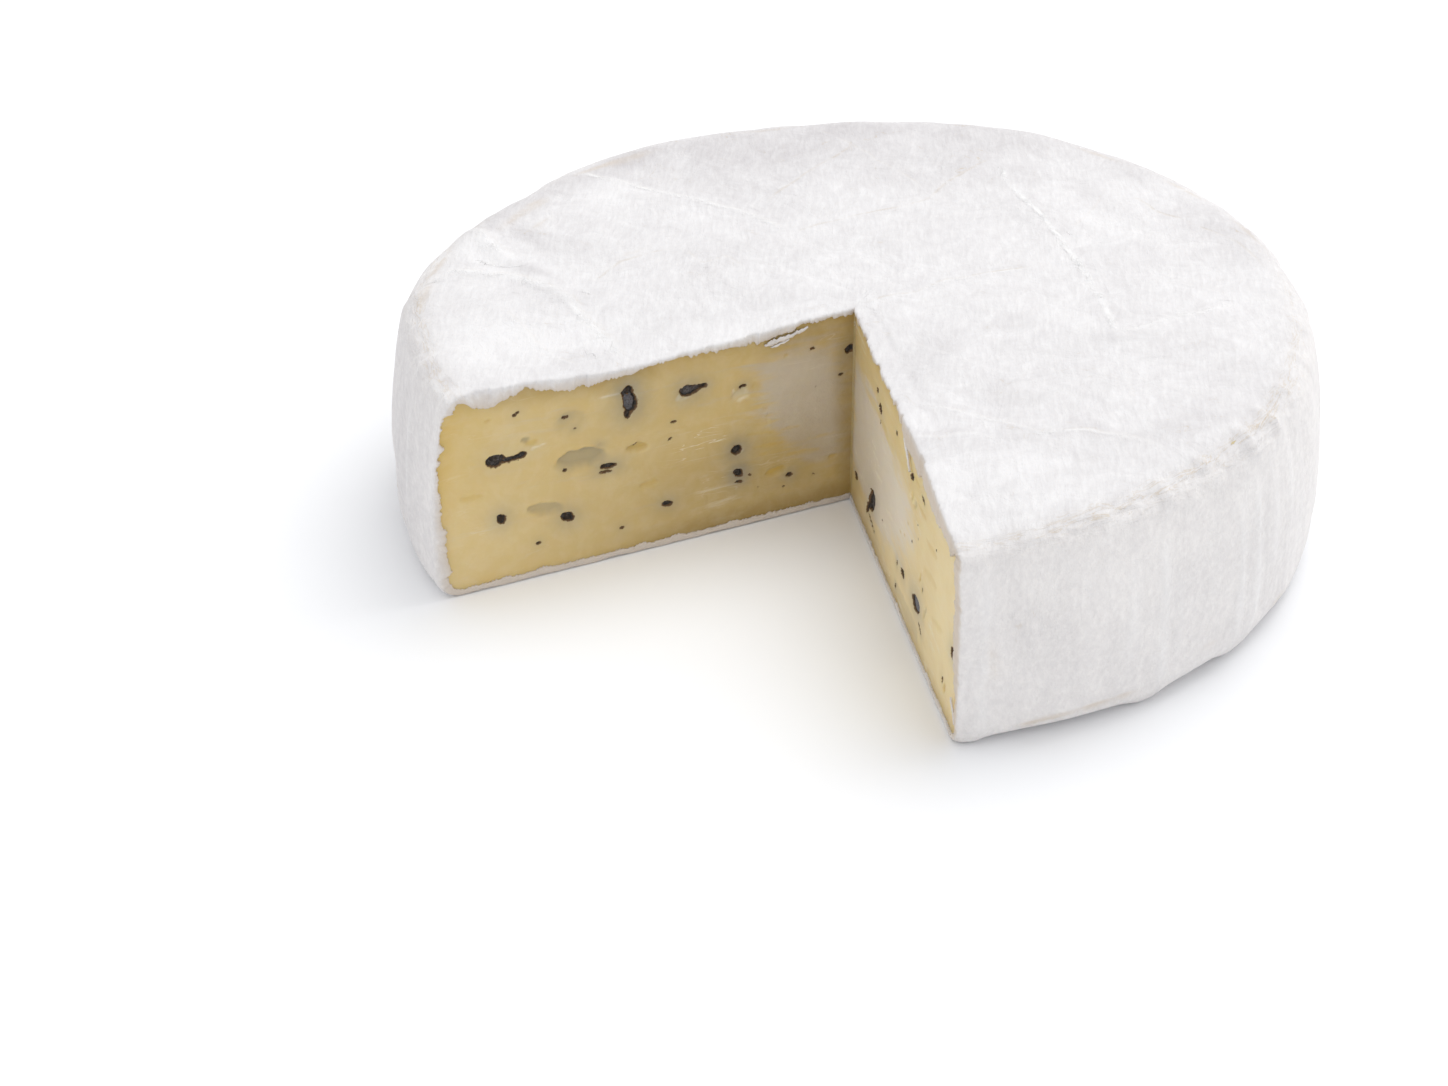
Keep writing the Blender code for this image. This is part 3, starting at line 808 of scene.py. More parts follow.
def makeMould():
    look = mouldLook
    material, tree, shader, place = newMaterial("darkMould", look["surface"])
    patches = useGroup(tree, softPatches, "Mask", Vector=place, Size=520.0, Low=0.38, High=0.60)
    threads = useGroup(tree, mattedThreads, "Height", Vector=place, Scale=3000.0, Swirl=0.001)
    warm = useGroup(tree, softPatches, "Mask", Vector=place, Size=380.0, Low=0.46, High=0.60)
    colour = tint(tree, look["dark"], warm, look["browning"], look["brown"])
    colour = tint(tree, colour, patches, threads, look["down"])
    furry = mapRange(tree, threads, 0.1, 0.6, 0.5, 1.0)
    colour = tint(tree, colour, attribute(tree, "bloom"), furry, look["bloom"])
    tree.links.new(colour, shader.inputs["Base Color"])
    bumpsOn(tree, shader, {"threads": threads}, look["bumps"])
    return material


rindMaterial = makeRind()
pasteMaterial = makePaste()
mouldMaterial = makeMould()
print("cheese: materials ready")


# The rind is a closed skin with a wall, open at the notch.
rindShell = {
    "thickness": 0.0019,
    "columns": 556,
    "innerColumns": 36,
    "behindCut": 0.0014,
    "rows": (70, 26, 36, 10, 5),
}
# Lines of the top: how bright the ridge's painted highlight is, which also sets the painted shade beside it,
# how brown the vein, millimetres from ridge to vein, breadth, points.
creases = [
    (1.5, 0, 0.8, 1.25, [
        (35.5, 84), (38, 68), (43, 54.5), (50.5, 33), (54, 22), (59, 0), (61.8, -15.5), (63, -20.5),
    ]),
    (1, 0.1, 0.8, 1.1, [(63, -20.5), (69, -16), (76.8, -10), (86, -6), (95, -3)]),
    (0.1, 0.3, 0.6, 1, [(55, 40), (59, 47), (62.5, 56), (66, 66)]),
    (0.6, 0.75, 0.7, 1, [(-1, -6), (5, -2), (13, 2), (19, 7), (25.5, 9.5), (35, 13), (44, 16)]),
    (1.2, 0.15, 0.9, 1.3, [
        (-90, 72), (-68, 63), (-56, 55), (-47, 51), (-34.5, 44.5), (-27, 39), (-20, 34.5),
    ]),
    (0.15, 0.7, 0.4, 1, [
        (-20, 33), (-12, 38.5), (-4.5, 43), (6, 49), (15.5, 54.5), (21, 65), (28, 76), (35, 85),
    ]),
    (0.1, 0.8, 0.3, 1, [(-4.5, 91), (-9, 83), (-14.5, 74.5), (-22, 62), (-28, 50)]),
    (0.25, 0.3, 0.5, 1, [(-17, 103), (-5, 91), (2, 80), (9, 72), (15, 63)]),
    (1.3, 0.25, 2, 2.2, [(-110, 38), (-103, 30), (-98, 21), (-91, 12.5)]),
    (1.1, 0.25, 1.6, 2, [
        (-112, -2), (-106, 4), (-99.5, 4.5), (-92, 3), (-84.5, -0.5), (-74.5, -8), (-63, -25.5), (-56, -40),
    ]),
    (1.8, 1, -3, 1.6, [(-111, -37), (-106, -46), (-101, -55), (-96, -65.5), (-95, -70)]),
    (0.15, 0.6, 0.4, 1, [(-68.5, 2), (-67, 6), (-63, 14.5), (-55, 20), (-48, 25)]),
    (0.7, 0.1, 0.7, 1, [(11, -71.5), (20, -70), (27, -69.5), (32, -72)]),
    (0.7, 0.15, 0.8, 1, [(10, -51), (20, -56), (30, -61.5), (42, -68.5), (53, -67), (62, -70), (72, -77)]),
    (0.4, 0.1, 0.6, 1, [(3, -18), (18, -28), (38, -41), (54, -54.5)]),
    (0.3, 0.1, 0.6, 1, [(63, -30), (63.5, -40), (64.5, -54)]),
    (0.1, 0.6, 0.3, 1, [(70, 64), (76, 52), (86, 43), (96, 33), (103, 18)]),
    (0.3, 0.2, 0.6, 1, [(-92, -12), (-84, -22), (-76, -34), (-68, -38)]),
    (0.3, 0.3, 0.5, 1, [(-47, 22), (-42, 14), (-36, 19), (-30, 11)]),
    (0.3, 0.15, 0.6, 1, [(70, 20), (82, 8), (92, 2)]),
]
# Where the top is dimmer, or with a strength below 0 whiter, mostly the down's own tone; the last three are
# painted shade beside the ridges at the left rim. x, y, half length and half breadth in millimetres,
# slope in degrees and strength.
toneAndShadeSpots = [
    (-80, 64, 28, 7, 46, 0.3), (-99, 38, 15, 6, 62, 0.3), (-62, 80, 13, 7, 38, 0.26),
    (-8, 101, 11, 7, 0, 0.34), (-40, 84, 30, 18, 20, 0.24), (-34, 56, 18, 8, -30, 0.2),
    (28, 102, 34, 10, -10, 0.22), (-44, 20, 12, 15, 20, 0.08), (-76, 30, 11, 18, 30, 0.05),
    (61, 62, 5, 13, 24, 0.2), (92, 40, 10, 21, 22, 0.22), (72, 84, 16, 9, -45, 0.24),
    (86, -44, 13, 20, 20, 0.1), (16, -30, 9, 13, -20, 0.16), (42, -56, 20, 7, -28, 0.08),
    (66, 2, 8, 20, 15, 0.08), (-85, -26, 22, 13, 25, -0.22), (-97, 14, 12, 5, -48, -0.28),
    (-74, 54, 12, 6, -12, -0.14), (56, 55, 6, 12, 24, -0.08), (30, -90, 20, 14, 0, -0.12),
    (-34, -24, 28, 8, 30, -0.16), (74, -66, 16, 5, 30, 0.12), (-2, 62, 9, 13, 10, -0.08),
    (20, 40, 26, 16, 10, 0.06), (0, 84, 60, 24, 0, 0.27), (-84, 52, 12, 7, 50, 0.14),
    (-87, 25, 11, 3.6, -52, 0.3), (-86, 7, 10, 2.6, -28, 0.2), (-107, -52, 10, 2.4, -55, 0.3),
]
# Beige smudges of the top, in the same way.
topSmudges = [
    (-66, 78, 9, 2.6, 42, 0.44), (-75, 71, 8, 1.4, 44, 0.44), (-89, 46, 7, 2, 62, 0.5),
    (-94, 36, 6, 1.6, 68, 0.45), (-86, 34, 5, 1, 66, 0.4), (-110, 10, 7, 1.4, 76, 0.45),
    (-111, -6, 7, 1.4, 88, 0.45), (-30, 100, 8, 1.2, 16, 0.35), (64, 88, 8, 1.4, -42, 0.4),
    (86, 66, 9, 1.3, -52, 0.4), (100, 42, 9, 1.2, -66, 0.35), (-60, 20, 6, 0.8, 40, 0.3),
]
skinLayers = (
    "creaseGap", "creaseWeight", "veinGap", "veinWeight", "dim", "stain", "side", "torn", "around", "down",
    "ridgeHighlight",
)
noCrease = (10.0, 0.0, 10.0, 0.0)
creaseShape = {"reach": 11, "bend": 0.0009, "bendSize": 0.008, "unevenSize": 0.011}
# The way down the skin: round the lip and round the foot it grows with the lean, in millimetres.
skinWay = {"lipTurn": 9.0, "lipLong": 14.1, "footTurn": 7.7}


# Way down the skin from where the lip begins, in millimetres.
def downFromLip(radius, z, lean):
    flat = wheel["radius"] - sideInset(wheel["height"]) - wheel["lipWidth"]
    edge = wheel["height"] - wheel["lipDrop"]
    if lean > flatLean:
        return (radius - flat) / mm
    if lean > 0:
        return (math.pi / 2 - lean) * skinWay["lipTurn"]
    if lean == 0:
        return skinWay["lipLong"] + (edge - z) / mm
    return skinWay["lipLong"] + (edge - wheel["footRise"]) / mm - lean * skinWay["footTurn"]


def creaseMarks(x, y):
    reach, bend, size = creaseShape["reach"], creaseShape["bend"], creaseShape["bendSize"]
    uneven = creaseShape["unevenSize"]
    nearest = reach * mm
    found = noCrease
    x += bend * noiseAt(x / size, y / size, 0, 14.0)
    y += bend * noiseAt(x / size, y / size, 0, 24.0)
    for ridgeHighlight, vein, veinAway, breadth, points in creases:
        if not (min(p[0] for p in points) - reach < x / mm < max(p[0] for p in points) + reach):
            continue
        gap, side, along = gapToLine(x, y, points)
        if gap < nearest:
            nearest = gap
            ends = smoothStep(0.0, 0.12, along) * smoothStep(1.0, 0.88, along)
            ends *= 0.80 + 0.6 * noiseAt(x / uneven, y / uneven, 0, 34.0)
            fade = smoothStep(0.0034 * breadth, 0.0026 * breadth, gap)
            signed = side * gap / mm
            veinGap = (signed - veinAway) / breadth
            found = (signed / breadth, ridgeHighlight * ends * fade, veinGap, vein * ends * fade)
    return found


# Softer and darker places of the side, or with a strength below 0 whiter ones: painted shade on its left
# and painted light at its front right and under the lip; bearing, height, half width and half height
# in millimetres, strength.
sideShadeAndLight = [
    (196, 26, 30, 40, 0.36), (-14, 30, 26, 30, -0.22), (10, 28, 34, 34, -0.14), (-60, 38, 10, 12, -0.08),
    (-50, 43, 60, 7, -0.12), (-68, 20, 9, 12, 0.06),
]
# Beige smudges of the side, in the same way.
sideSmudges = [
    (-75.2, 27, 1.3, 3.4, 0.3), (-74.8, 22, 1.6, 3.4, 0.28), (-75.8, 17, 1.1, 3, 0.22),
    (-67.5, 5.9, 5.5, 1.1, 0.9), (-62.5, 6.3, 4.5, 1, 0.85), (-58.5, 6.2, 3, 0.9, 0.65),
    (-70.5, 5, 3, 1.1, 0.65), (-30, 6, 5, 1.2, 0.55), (-46, 10, 4, 0.8, 0.25), (-24, 3.5, 6, 0.9, 0.35),
]


def sideSpot(spots, bearing, z):
    tone = 0.0
    for degrees, high, half, tall, strength in spots:
        gap = bearingGap(bearing, degrees) * wheel["radius"] / mm
        if abs(gap) < 3 * half:
            tone += strength * math.exp(-((gap / half) ** 2) - ((z / mm - high) / tall) ** 2)
    return tone


def toneAt(x, y, spots):
    tone = 0.0
    for atX, atY, length, breadth, slope, strength in spots:
        dx, dy = x / mm - atX, y / mm - atY
        if abs(dx) > 50 or abs(dy) > 50:
            continue
        turn = math.radians(slope)
        p = (dx * math.cos(turn) + dy * math.sin(turn)) / length
        q = (dy * math.cos(turn) - dx * math.sin(turn)) / breadth
        tone += strength * math.exp(-(p * p + q * q) ** 1.5)
    return tone


def markSkin(vert, layers, place, topness, bearing, down, torn=0.0):
    crease = noCrease
    dim = 0.0
    if topness > 0.2:
        share = smoothStep(0.2, 0.7, topness)
        crease = creaseMarks(place.x, place.y)
        crease = (crease[0], crease[1] * share, crease[2], crease[3] * share)
        # The top's own tone, with painted shade beside the left rim's ridges.
        dim = share * toneAt(place.x, place.y, toneAndShadeSpots)
        torn = max(torn, share * toneAt(place.x, place.y, topSmudges))
    if topness < 0.8:
        # Painted shade on the left of the side and painted light at its front right and under the lip.
        dim += (1 - topness) * sideSpot(sideShadeAndLight, bearing, place.z)
        torn = max(torn, (1 - topness) * sideSpot(sideSmudges, bearing, place.z))
    edge = 4.0 * topness * (1.0 - topness)
    foot = smoothStep(0.008, 0.002, place.z)
    stain = max(edge * (0.30 + lipCrumple(bearing)), 0.9 * foot)
    # Where the side's upright ridges get their painted highlight.
    ridgeHighlight = sideRidge(bearing, place.z) * (1 - topness) if topness < 0.9 and place.z > 0.001 else 0.0
    values = (*crease, dim, stain, 1.0 - topness, torn, bearing * wheel["radius"] / mm, down, ridgeHighlight)
    for layer, value in zip(layers, values):
        vert[layer] = value


def makeRindShell():
    values = rindShell
    rows = skinRows(*values["rows"])
    count, inner = values["columns"], values["innerColumns"]
    # Round the outside, in at the left cut, back round the inside, and out at the right cut.
    columns = [(mix(rightCut, leftCut, step / count), 0.0) for step in range(count + 1)]
    columns += [(leftCut, 0.5)]
    columns += [(mix(leftCut, rightCut, step / inner), 1.0) for step in range(inner + 1)]
    columns += [(rightCut, 0.5), (rightCut, 0.0)]
    start = notchStart(values["behindCut"])
    shape = newGrid(len(columns) - 1, len(rows) - 1)
    layers = [shape.verts.layers.float.new(name) for name in skinLayers]
    for vert in shape.verts:
        i, j = gridPlace(vert, len(columns) - 1, len(rows) - 1)
        bearing, depth = columns[i]
        place, out, topness, around, down = skinPoint(start, bearing, rows[j])
        vert.co = place - out * (values["thickness"] * depth)
        markSkin(vert, layers, place, topness, around, down)
    finishPiece("rind", shape, rindMaterial)


# Torn edges of the rind, where the two cuts opened it.
tornEdge = {
    "thickness": {"left": 0.0018, "right": 0.0012},
    "ragged": 0.00042,
    "raggedSize": 0.0022,
    "frayed": 0.00055,
    "frayedSize": 0.0009,
    "flake": 0.00060,
    "notched": 0.00045,
    "least": 0.0008,
    "thinnest": 0.0010,
    "thickest": 0.0062,
    "flakeSize": 0.0052,
    "nickSize": 0.0013,
    "baySize": 0.0045,
    "lift": 0.00042,
    "liftSize": 0.007,
    "step": 0.00034,
    "rows": (42, 112, 26),
    # How beige the foot is by each cut, and how much painted shade dims it.
    "footMarks": {"left": (0.75, 0.35), "right": (0.40, 0.05)},
}
# Where the paste begins under the rind, in millimetres: along the cut and height under the top,
# then height and along the cut inside the side.
tornLines = {
    "left": (
        [
            (0, 55.2), (5.8, 54.9), (13.8, 54.4), (22, 53.4), (27.6, 52.3), (34.8, 53.1), (43.9, 52.8),
            (52, 52.9), (57.4, 52.2), (62.7, 51.2), (67.1, 51.8), (74.2, 51.1), (77.2, 50.7), (84.6, 52.2),
            (88.8, 54.0), (91.4, 52.9), (94.5, 52.3), (98.4, 50.5), (106.4, 52.4), (109.3, 50.9),
            (112, 49.6),
        ],
        [
            (0, 107.0), (5, 109.4), (12, 111.0), (24, 112.1), (37.3, 112.3), (41.2, 112.1), (42.3, 110.0),
            (43.7, 111.2), (46.9, 112.8), (49.7, 111.9), (52, 108.0),
        ],
    ),
    "right": (
        [
            (0, 55.2), (17, 54.8), (28, 54.0), (36, 53.7), (50, 54.0), (54.5, 51.8), (58, 49.4), (61, 48.4),
            (63.5, 49.6), (66, 49.8), (70.5, 48.6), (75.8, 47.9), (80.2, 47.5), (84, 47.3), (87, 47.2),
            (92, 47.0), (97, 47.4), (101, 47.4), (104, 45.3),
        ],
        [
            (0, 103.6), (1.2, 105.4), (6, 110.0), (11, 112.4), (13, 112.8), (14.5, 112.2), (15.2, 110.6),
            (16.5, 110.0), (21.4, 108.5), (31.8, 107.7), (39.5, 107.4), (44.1, 104.6), (48, 101.5),
        ],
    ),
}
# Section of the edge: share of the rind's thickness inwards, extra millimetres inwards,
# millimetres into the cheese, and how yellow it is.
edgeSection = [
    (0, 0.12, 2.8, 0), (0, -0.03, 2.3, 0), (0, -0.05, 1.7, 0), (0, -0.04, 1.2, 0), (0, 0, 0.8, 0),
    (0, 0.07, 0.45, 0.05), (0, 0.2, 0.2, 0.15), (0, 0.44, 0.04, 0.4), (0.3, 0.3, 0, 0.8), (0.72, 0, 0, 0.9),
    (0.92, 0, 0.04, 1), (1, 0, 0.22, 1), (1, 0.05, 0.6, 1), (1, -0.05, 1.5, 1), (0.6, 0, 2.3, 0.5),
]


def lineAt(points, value):
    for (ax, ay), (bx, by) in zip(points, points[1:]):
        if value <= bx:
            return mix(ay, by, min(1.0, max(0.0, (value - ax) / (bx - ax))))
    return points[-1][1]


def tornThickness(side, row, s, z):
    values = tornEdge
    topLine, sideLine = tornLines[side]
    seed = 3.0 if side == "left" else 8.0
    lean = row[3]
    down = z - lineAt(topLine, s / mm) * mm
    inwards = s - lineAt(sideLine, z / mm) * mm
    thick = mix(inwards, down, smoothStep(0.35, 1.15, lean))
    thick = mix(thick, values["thickness"][side], smoothStep(0.1, -0.8, lean))
    thick = min(values["thickest"], max(values["thinnest"], thick))
    rough = 0.8 if lean < -1.2 else 1.0
    thick += rough * values["ragged"] * noiseAt(s / values["raggedSize"], z / values["raggedSize"], 0, seed)
    fray = noiseAt(s / values["frayedSize"], z / values["frayedSize"], 0, seed + 5)
    thick += rough * values["frayed"] * (abs(fray) * 2 - 0.5)
    # Here and there a flake of rind hangs lower, with a square end.
    flake = noiseAt(s / values["flakeSize"], z / values["flakeSize"], 0, seed + 9)
    thick += rough * values["flake"] * smoothStep(0.12, 0.20, flake)
    return max(values["least"], thick)


def makeTornEdge(side):
    values = tornEdge
    nick, bay = values["nickSize"], values["baySize"]
    footBeige, footShade = values["footMarks"][side]
    bearing, along, inward, corner = cutFrame(side)
    count = round(wheel["radius"] / values["step"])
    rows = skinRows(count, *values["rows"], count)
    deepest = edgeSection[0][2]
    section = edgeSection + edgeSection[:1]
    shape = newGrid(len(rows) - 1, len(section) - 1)
    layers = [shape.verts.layers.float.new(name) for name in skinLayers]
    dimLayer = layers[skinLayers.index("dim")]
    found = []
    for row in rows:
        place, out, topness, around, down = skinPoint(notchStart(0.0), bearing, row)
        out = (out - inward * out.dot(inward)).normalized()
        s = (place - corner).dot(along)
        thick = tornThickness(side, row, s, place.z)
        # How far the skin's edge is broken back from the cut, in millimetres.
        broken = max(0.0, noiseAt(s / nick, place.z / nick, 0, 41.0))
        broken += smoothStep(0.16, 0.26, noiseAt(s / bay, place.z / bay, 0, 43.0))
        lifted = 0.7 + 0.9 * noiseAt(s / values["liftSize"], 0, 0, 47.0)
        found.append((out, thick, broken * values["notched"] / mm, lifted))
    for vert in shape.verts:
        i, j = gridPlace(vert, len(rows) - 1, len(section) - 1)
        part, extra, deep, yellow = section[j]
        out, thick, broken, lifted = found[i]
        low = smoothStep(-0.3, -1.2, rows[i][3])
        front = 1 - deep / deepest
        back = deep + broken * front * (1 - low)
        start = notchStart(mix(back, min(deepest, 0.30 + 0.8 * deep), low) * mm)
        place, ignored, topness, around, down = skinPoint(start, bearing, rows[i])
        # By the left cut only the lower edge of the skin is yellowed.
        yellow = 0.85 * yellow ** 4 if side == "left" else min(1.0, 1.25 * yellow)
        markSkin(vert, layers, place, topness, around, down, mix(yellow, footBeige, low))
        # Painted shade: the yellowed cut section is dimmed a little, and the foot's edge by each cut's own
        # amount.
        vert[dimLayer] += mix(0.25 * yellow, footShade, low)
        rounding = extra * mm * mix(1.0, 0.2, low)
        vert.co = place - out * (thick * part + rounding)
        # The foot's edge curls up a little from the table.
        vert.co.z = max(0.0, vert.co.z + low * (1 - part) * values["lift"] * lifted * front ** 2)
    # Both ends are closed where the two cuts meet.
    bmesh.ops.remove_doubles(shape, verts=shape.verts, dist=0.000002)
    ends = [edge for edge in shape.edges if edge.is_boundary]
    bmesh.ops.edgeloop_fill(shape, edges=ends)
    finishPiece(side + "TornEdge", shape, rindMaterial)


# Strips of rind that hang in front of the cuts: millimetres along the cut, height, half height.
hangingFlakes = {
    "left": [
        [
            (24.8, 51.1, 0.15), (24.2, 51.1, 0.50), (22.5, 51.5, 0.75), (19.5, 52.0, 0.65),
            (17.0, 52.4, 0.50), (14.8, 52.9, 0.45), (12.8, 53.6, 0.30),
        ],
        [(23.0, 50.2, 0.12), (21.6, 50.4, 0.36), (19.6, 50.9, 0.34), (18.0, 51.4, 0.14)],
    ],
    "right": [
        [(56.8, 50.4, 0.15), (57.6, 49.6, 0.50), (59.5, 48.2, 0.65), (61.2, 46.5, 0.50), (62.8, 44.9, 0.15)],
        [(108.6, 11.2, 0.12), (109.6, 10.2, 0.40), (111, 9, 0.50), (112.2, 7.6, 0.40), (112.6, 6.6, 0.12)],
    ],
}
flakeShape = {"proud": 0.00022, "thickness": 0.0006, "columns": 80, "around": 14}


def makeHangingFlakes(side):
    bearing, along, inward, corner = cutFrame(side)
    columns, around = flakeShape["columns"], flakeShape["around"]
    whole = bmesh.new()
    for number, line in enumerate(hangingFlakes[side]):
        shape = newGrid(columns, around)
        layers = [shape.verts.layers.float.new(name) for name in skinLayers]
        for vert in shape.verts:
            i, j = gridPlace(vert, columns, around)
            share = i / columns * (len(line) - 1)
            index = min(len(line) - 2, int(share))
            s, z, half = (mix(a, b, share - index) for a, b in zip(line[index], line[index + 1]))
            turn = math.tau * j / around
            half *= 1 + 0.75 * noiseAt(s / 0.7, math.sin(turn), z / 0.7, 12.0 + number)
            z += 0.30 * noiseAt(s / 1.1, 0, z / 1.1, 15.0 + number)
            thick = flakeShape["thickness"] * (1 + 0.5 * noiseAt(s / 1.3, 0, 0, 4.0))
            deep = 0.5 * thick * (1 - math.cos(turn)) - flakeShape["proud"]
            vert.co = corner + along * (s * mm) + inward * deep
            vert.co.z = (z + half * math.sin(turn)) * mm
            torn = 0.30 + 0.60 * smoothStep(0.1, -0.9, math.sin(turn))
            marks = (*noCrease, 0.05, 0.0, 0.3, torn, s, z, 0.0)
            for layer, value in zip(layers, marks):
                vert[layer] = value
        bmesh.ops.remove_doubles(shape, verts=shape.verts, dist=0.000002)
        bmesh.ops.edgeloop_fill(shape, edges=[edge for edge in shape.edges if edge.is_boundary])
        part = bpy.data.meshes.new("flakePart")
        shape.to_mesh(part)
        shape.free()
        whole.from_mesh(part)
        bpy.data.meshes.remove(part)
    finishPiece(side + "HangingFlakes", whole, rindMaterial)


# The paste is one body inside the rind, with its two cut faces.
paste = {
    "sunk": 0.0007,
    "underSkin": 0.0006,
    "faceColumns": 250,
    "faceRows": 118,
    "roundColumns": 60,
    "capRows": 9,
    "capSink": 0.0022,
    "middle": (0.010, 0.024),
    "wave": 0.00018,
    "drag": 0.00006,
}
# Pits in each face, in millimetres: along the cut, height, length, breadth, slope, depth,
# then how much mould lines it and how strong its grey halo is.
facePits = {
    "left": [
        (97.3, 35.6, 5, 3.5, 0, 1.5, 1, 0.12), (92.6, 35.2, 6.6, 1.6, -5, 1.2, 1, 0.1),
        (90.3, 35.6, 2.3, 1.8, 0, 1.2, 1, 0.1), (62.4, 46.6, 3.4, 2.8, 0, 1.6, 1, 0.65),
        (61.6, 43.4, 5.8, 3.8, 86, 1.6, 1.5, 0.55), (62.5, 40.4, 2.6, 1.9, 80, 1.3, 1, 0.3),
        (45.8, 43, 5, 3.1, 2, 1.6, 1.25, 0.45), (43.3, 43.2, 3, 1.6, -6, 1.2, 1.2, 0.45),
        (42, 43.4, 1.8, 1.6, 0, 1.2, 1, 0.45), (31.1, 40.6, 2.1, 1.1, -14, 0.9, 0.8, 0.35),
        (32.8, 22.7, 2.9, 3.1, 0, 1.6, 1, 0.6), (32.2, 15.8, 2.6, 2.7, 0, 1.5, 1, 0.75),
        (32.1, 13.2, 2.6, 0.7, 8, 0.6, 0.5, 0.55), (67.9, 26.9, 4.6, 1.5, 4, 1.2, 1, 0.45),
        (68.6, 25.3, 3.6, 0.7, 4, 0.8, 1, 0.35), (79.3, 43.3, 1.1, 0.9, 20, 0.7, 1, 0.3),
        (78.3, 43.4, 0.9, 0.7, 0, 0.6, 1, 0.3), (76.4, 39.6, 0.7, 0.5, 0, 0.4, 0.6, 0.2),
        (92, 47.1, 0.9, 0.8, 40, 0.5, 0.7, 0.15), (91.2, 47.7, 1.2, 0.6, 0, 0.4, 0.6, 0.15),
        (50.2, 35.1, 1.7, 0.8, 0, 0.6, 0.6, 0.1), (51.2, 30.4, 1.4, 0.6, -35, 0.5, 0.6, 0.1),
        (60.4, 31.1, 1.3, 0.5, -20, 0.5, 0.9, 0.1), (79.4, 28.4, 1.4, 0.8, 0, 0.6, 1, 0.2),
        (1.2, 44.4, 2.4, 3, 60, 1.2, 1, 0.35), (3.7, 37.6, 1.5, 0.6, 0, 0.5, 0.6, 0.1),
        (10.8, 35.9, 0.5, 0.4, 0, 0.3, 0.5, 0), (17.9, 11.7, 1.8, 1.4, 0, 1, 0.9, 0.4),
        (11, 10.2, 0.8, 0.5, 0, 0.4, 0.8, 0.1), (26.7, 10.3, 0.5, 0.4, 0, 0.3, 0.5, 0),
        (29.1, 14.5, 0.8, 0.7, 0, 0.4, 0.8, 0.1), (19.5, 8.6, 0.6, 0.4, 0, 0.3, 0.5, 0),
        (11.8, 46.9, 1.5, 0.6, 0, 0.4, 0.5, 0), (79, 15, 3.8, 2.6, 30, 1.4, 1, 0.35),
        (96.5, 19, 3, 2.4, 60, 1.2, 1, 0.35), (52, 12, 3, 1.8, 15, 1, 1, 0.35),
        (87, 9.5, 1.4, 1, 0, 0.6, 1, 0.2), (64.5, 8, 1.2, 0.9, 0, 0.5, 0.8, 0.2),
        (70, 33.4, 1, 0.5, 8, 0.3, 0.2, 0.35),
    ],
    "right": [
        (23.6, 12.9, 9, 4.6, 42, 1.4, 1.15, 0.25), (24, 15.6, 5.6, 1.8, 8, 1.2, 1, 0.15),
        (19.4, 8.9, 4.6, 2.4, 50, 1.2, 1, 0.3), (24.2, 6.9, 6.8, 0.9, -15, 0.7, 0.8, 0.25),
        (5.8, 10.1, 3.4, 2.1, 0, 1.2, 1, 0.2), (29.8, 43.2, 3.5, 2.5, 10, 1.2, 1, 0.15),
        (26.1, 46.3, 2.4, 1.4, 30, 0.9, 0.9, 0.1), (30.4, 39.8, 1, 0.7, 60, 0.5, 0.5, 0.1),
        (47, 46, 1.8, 1.1, 30, 0.6, 0.8, 0.1), (63.3, 43.3, 3.4, 1.8, 20, 1, 1, 0.1),
        (74.5, 43.5, 3.5, 1.3, -14, 1, 1, 0.1), (57.5, 12.8, 3.9, 2.2, 0, 1.2, 1, 0.2),
        (71.4, 12.9, 7.8, 4.3, 12, 0.9, 1.8, 0.4), (75.6, 8.6, 3.4, 0.8, -30, 0.4, 0.5, 0.3),
        (51.8, 12.3, 1.8, 0.8, 60, 0.5, 0.4, 0.3), (51, 5.1, 1.8, 0.9, 60, 0.5, 0.7, 0.2),
        (106.2, 21.8, 4.4, 3, 35, 1.2, 1.2, 0.3), (98, 9, 2.4, 1.2, 60, 0.8, 0.4, 0.1),
        (70.5, 34.3, 0.9, 0.5, 30, 0.4, 0.5, 0), (71, 30.9, 0.9, 0.6, 0, 0.4, 0.5, 0),
        (65.5, 26.8, 1.1, 0.6, 40, 0.4, 0.5, 0), (35.3, 14.3, 0.9, 0.7, 0, 0.4, 0.6, 0),
        (88, 38, 0.8, 0.6, 0, 0.4, 0.4, 0), (76.9, 20.2, 1.6, 0.7, 60, 0.5, 0.4, 0.2),
    ],
}
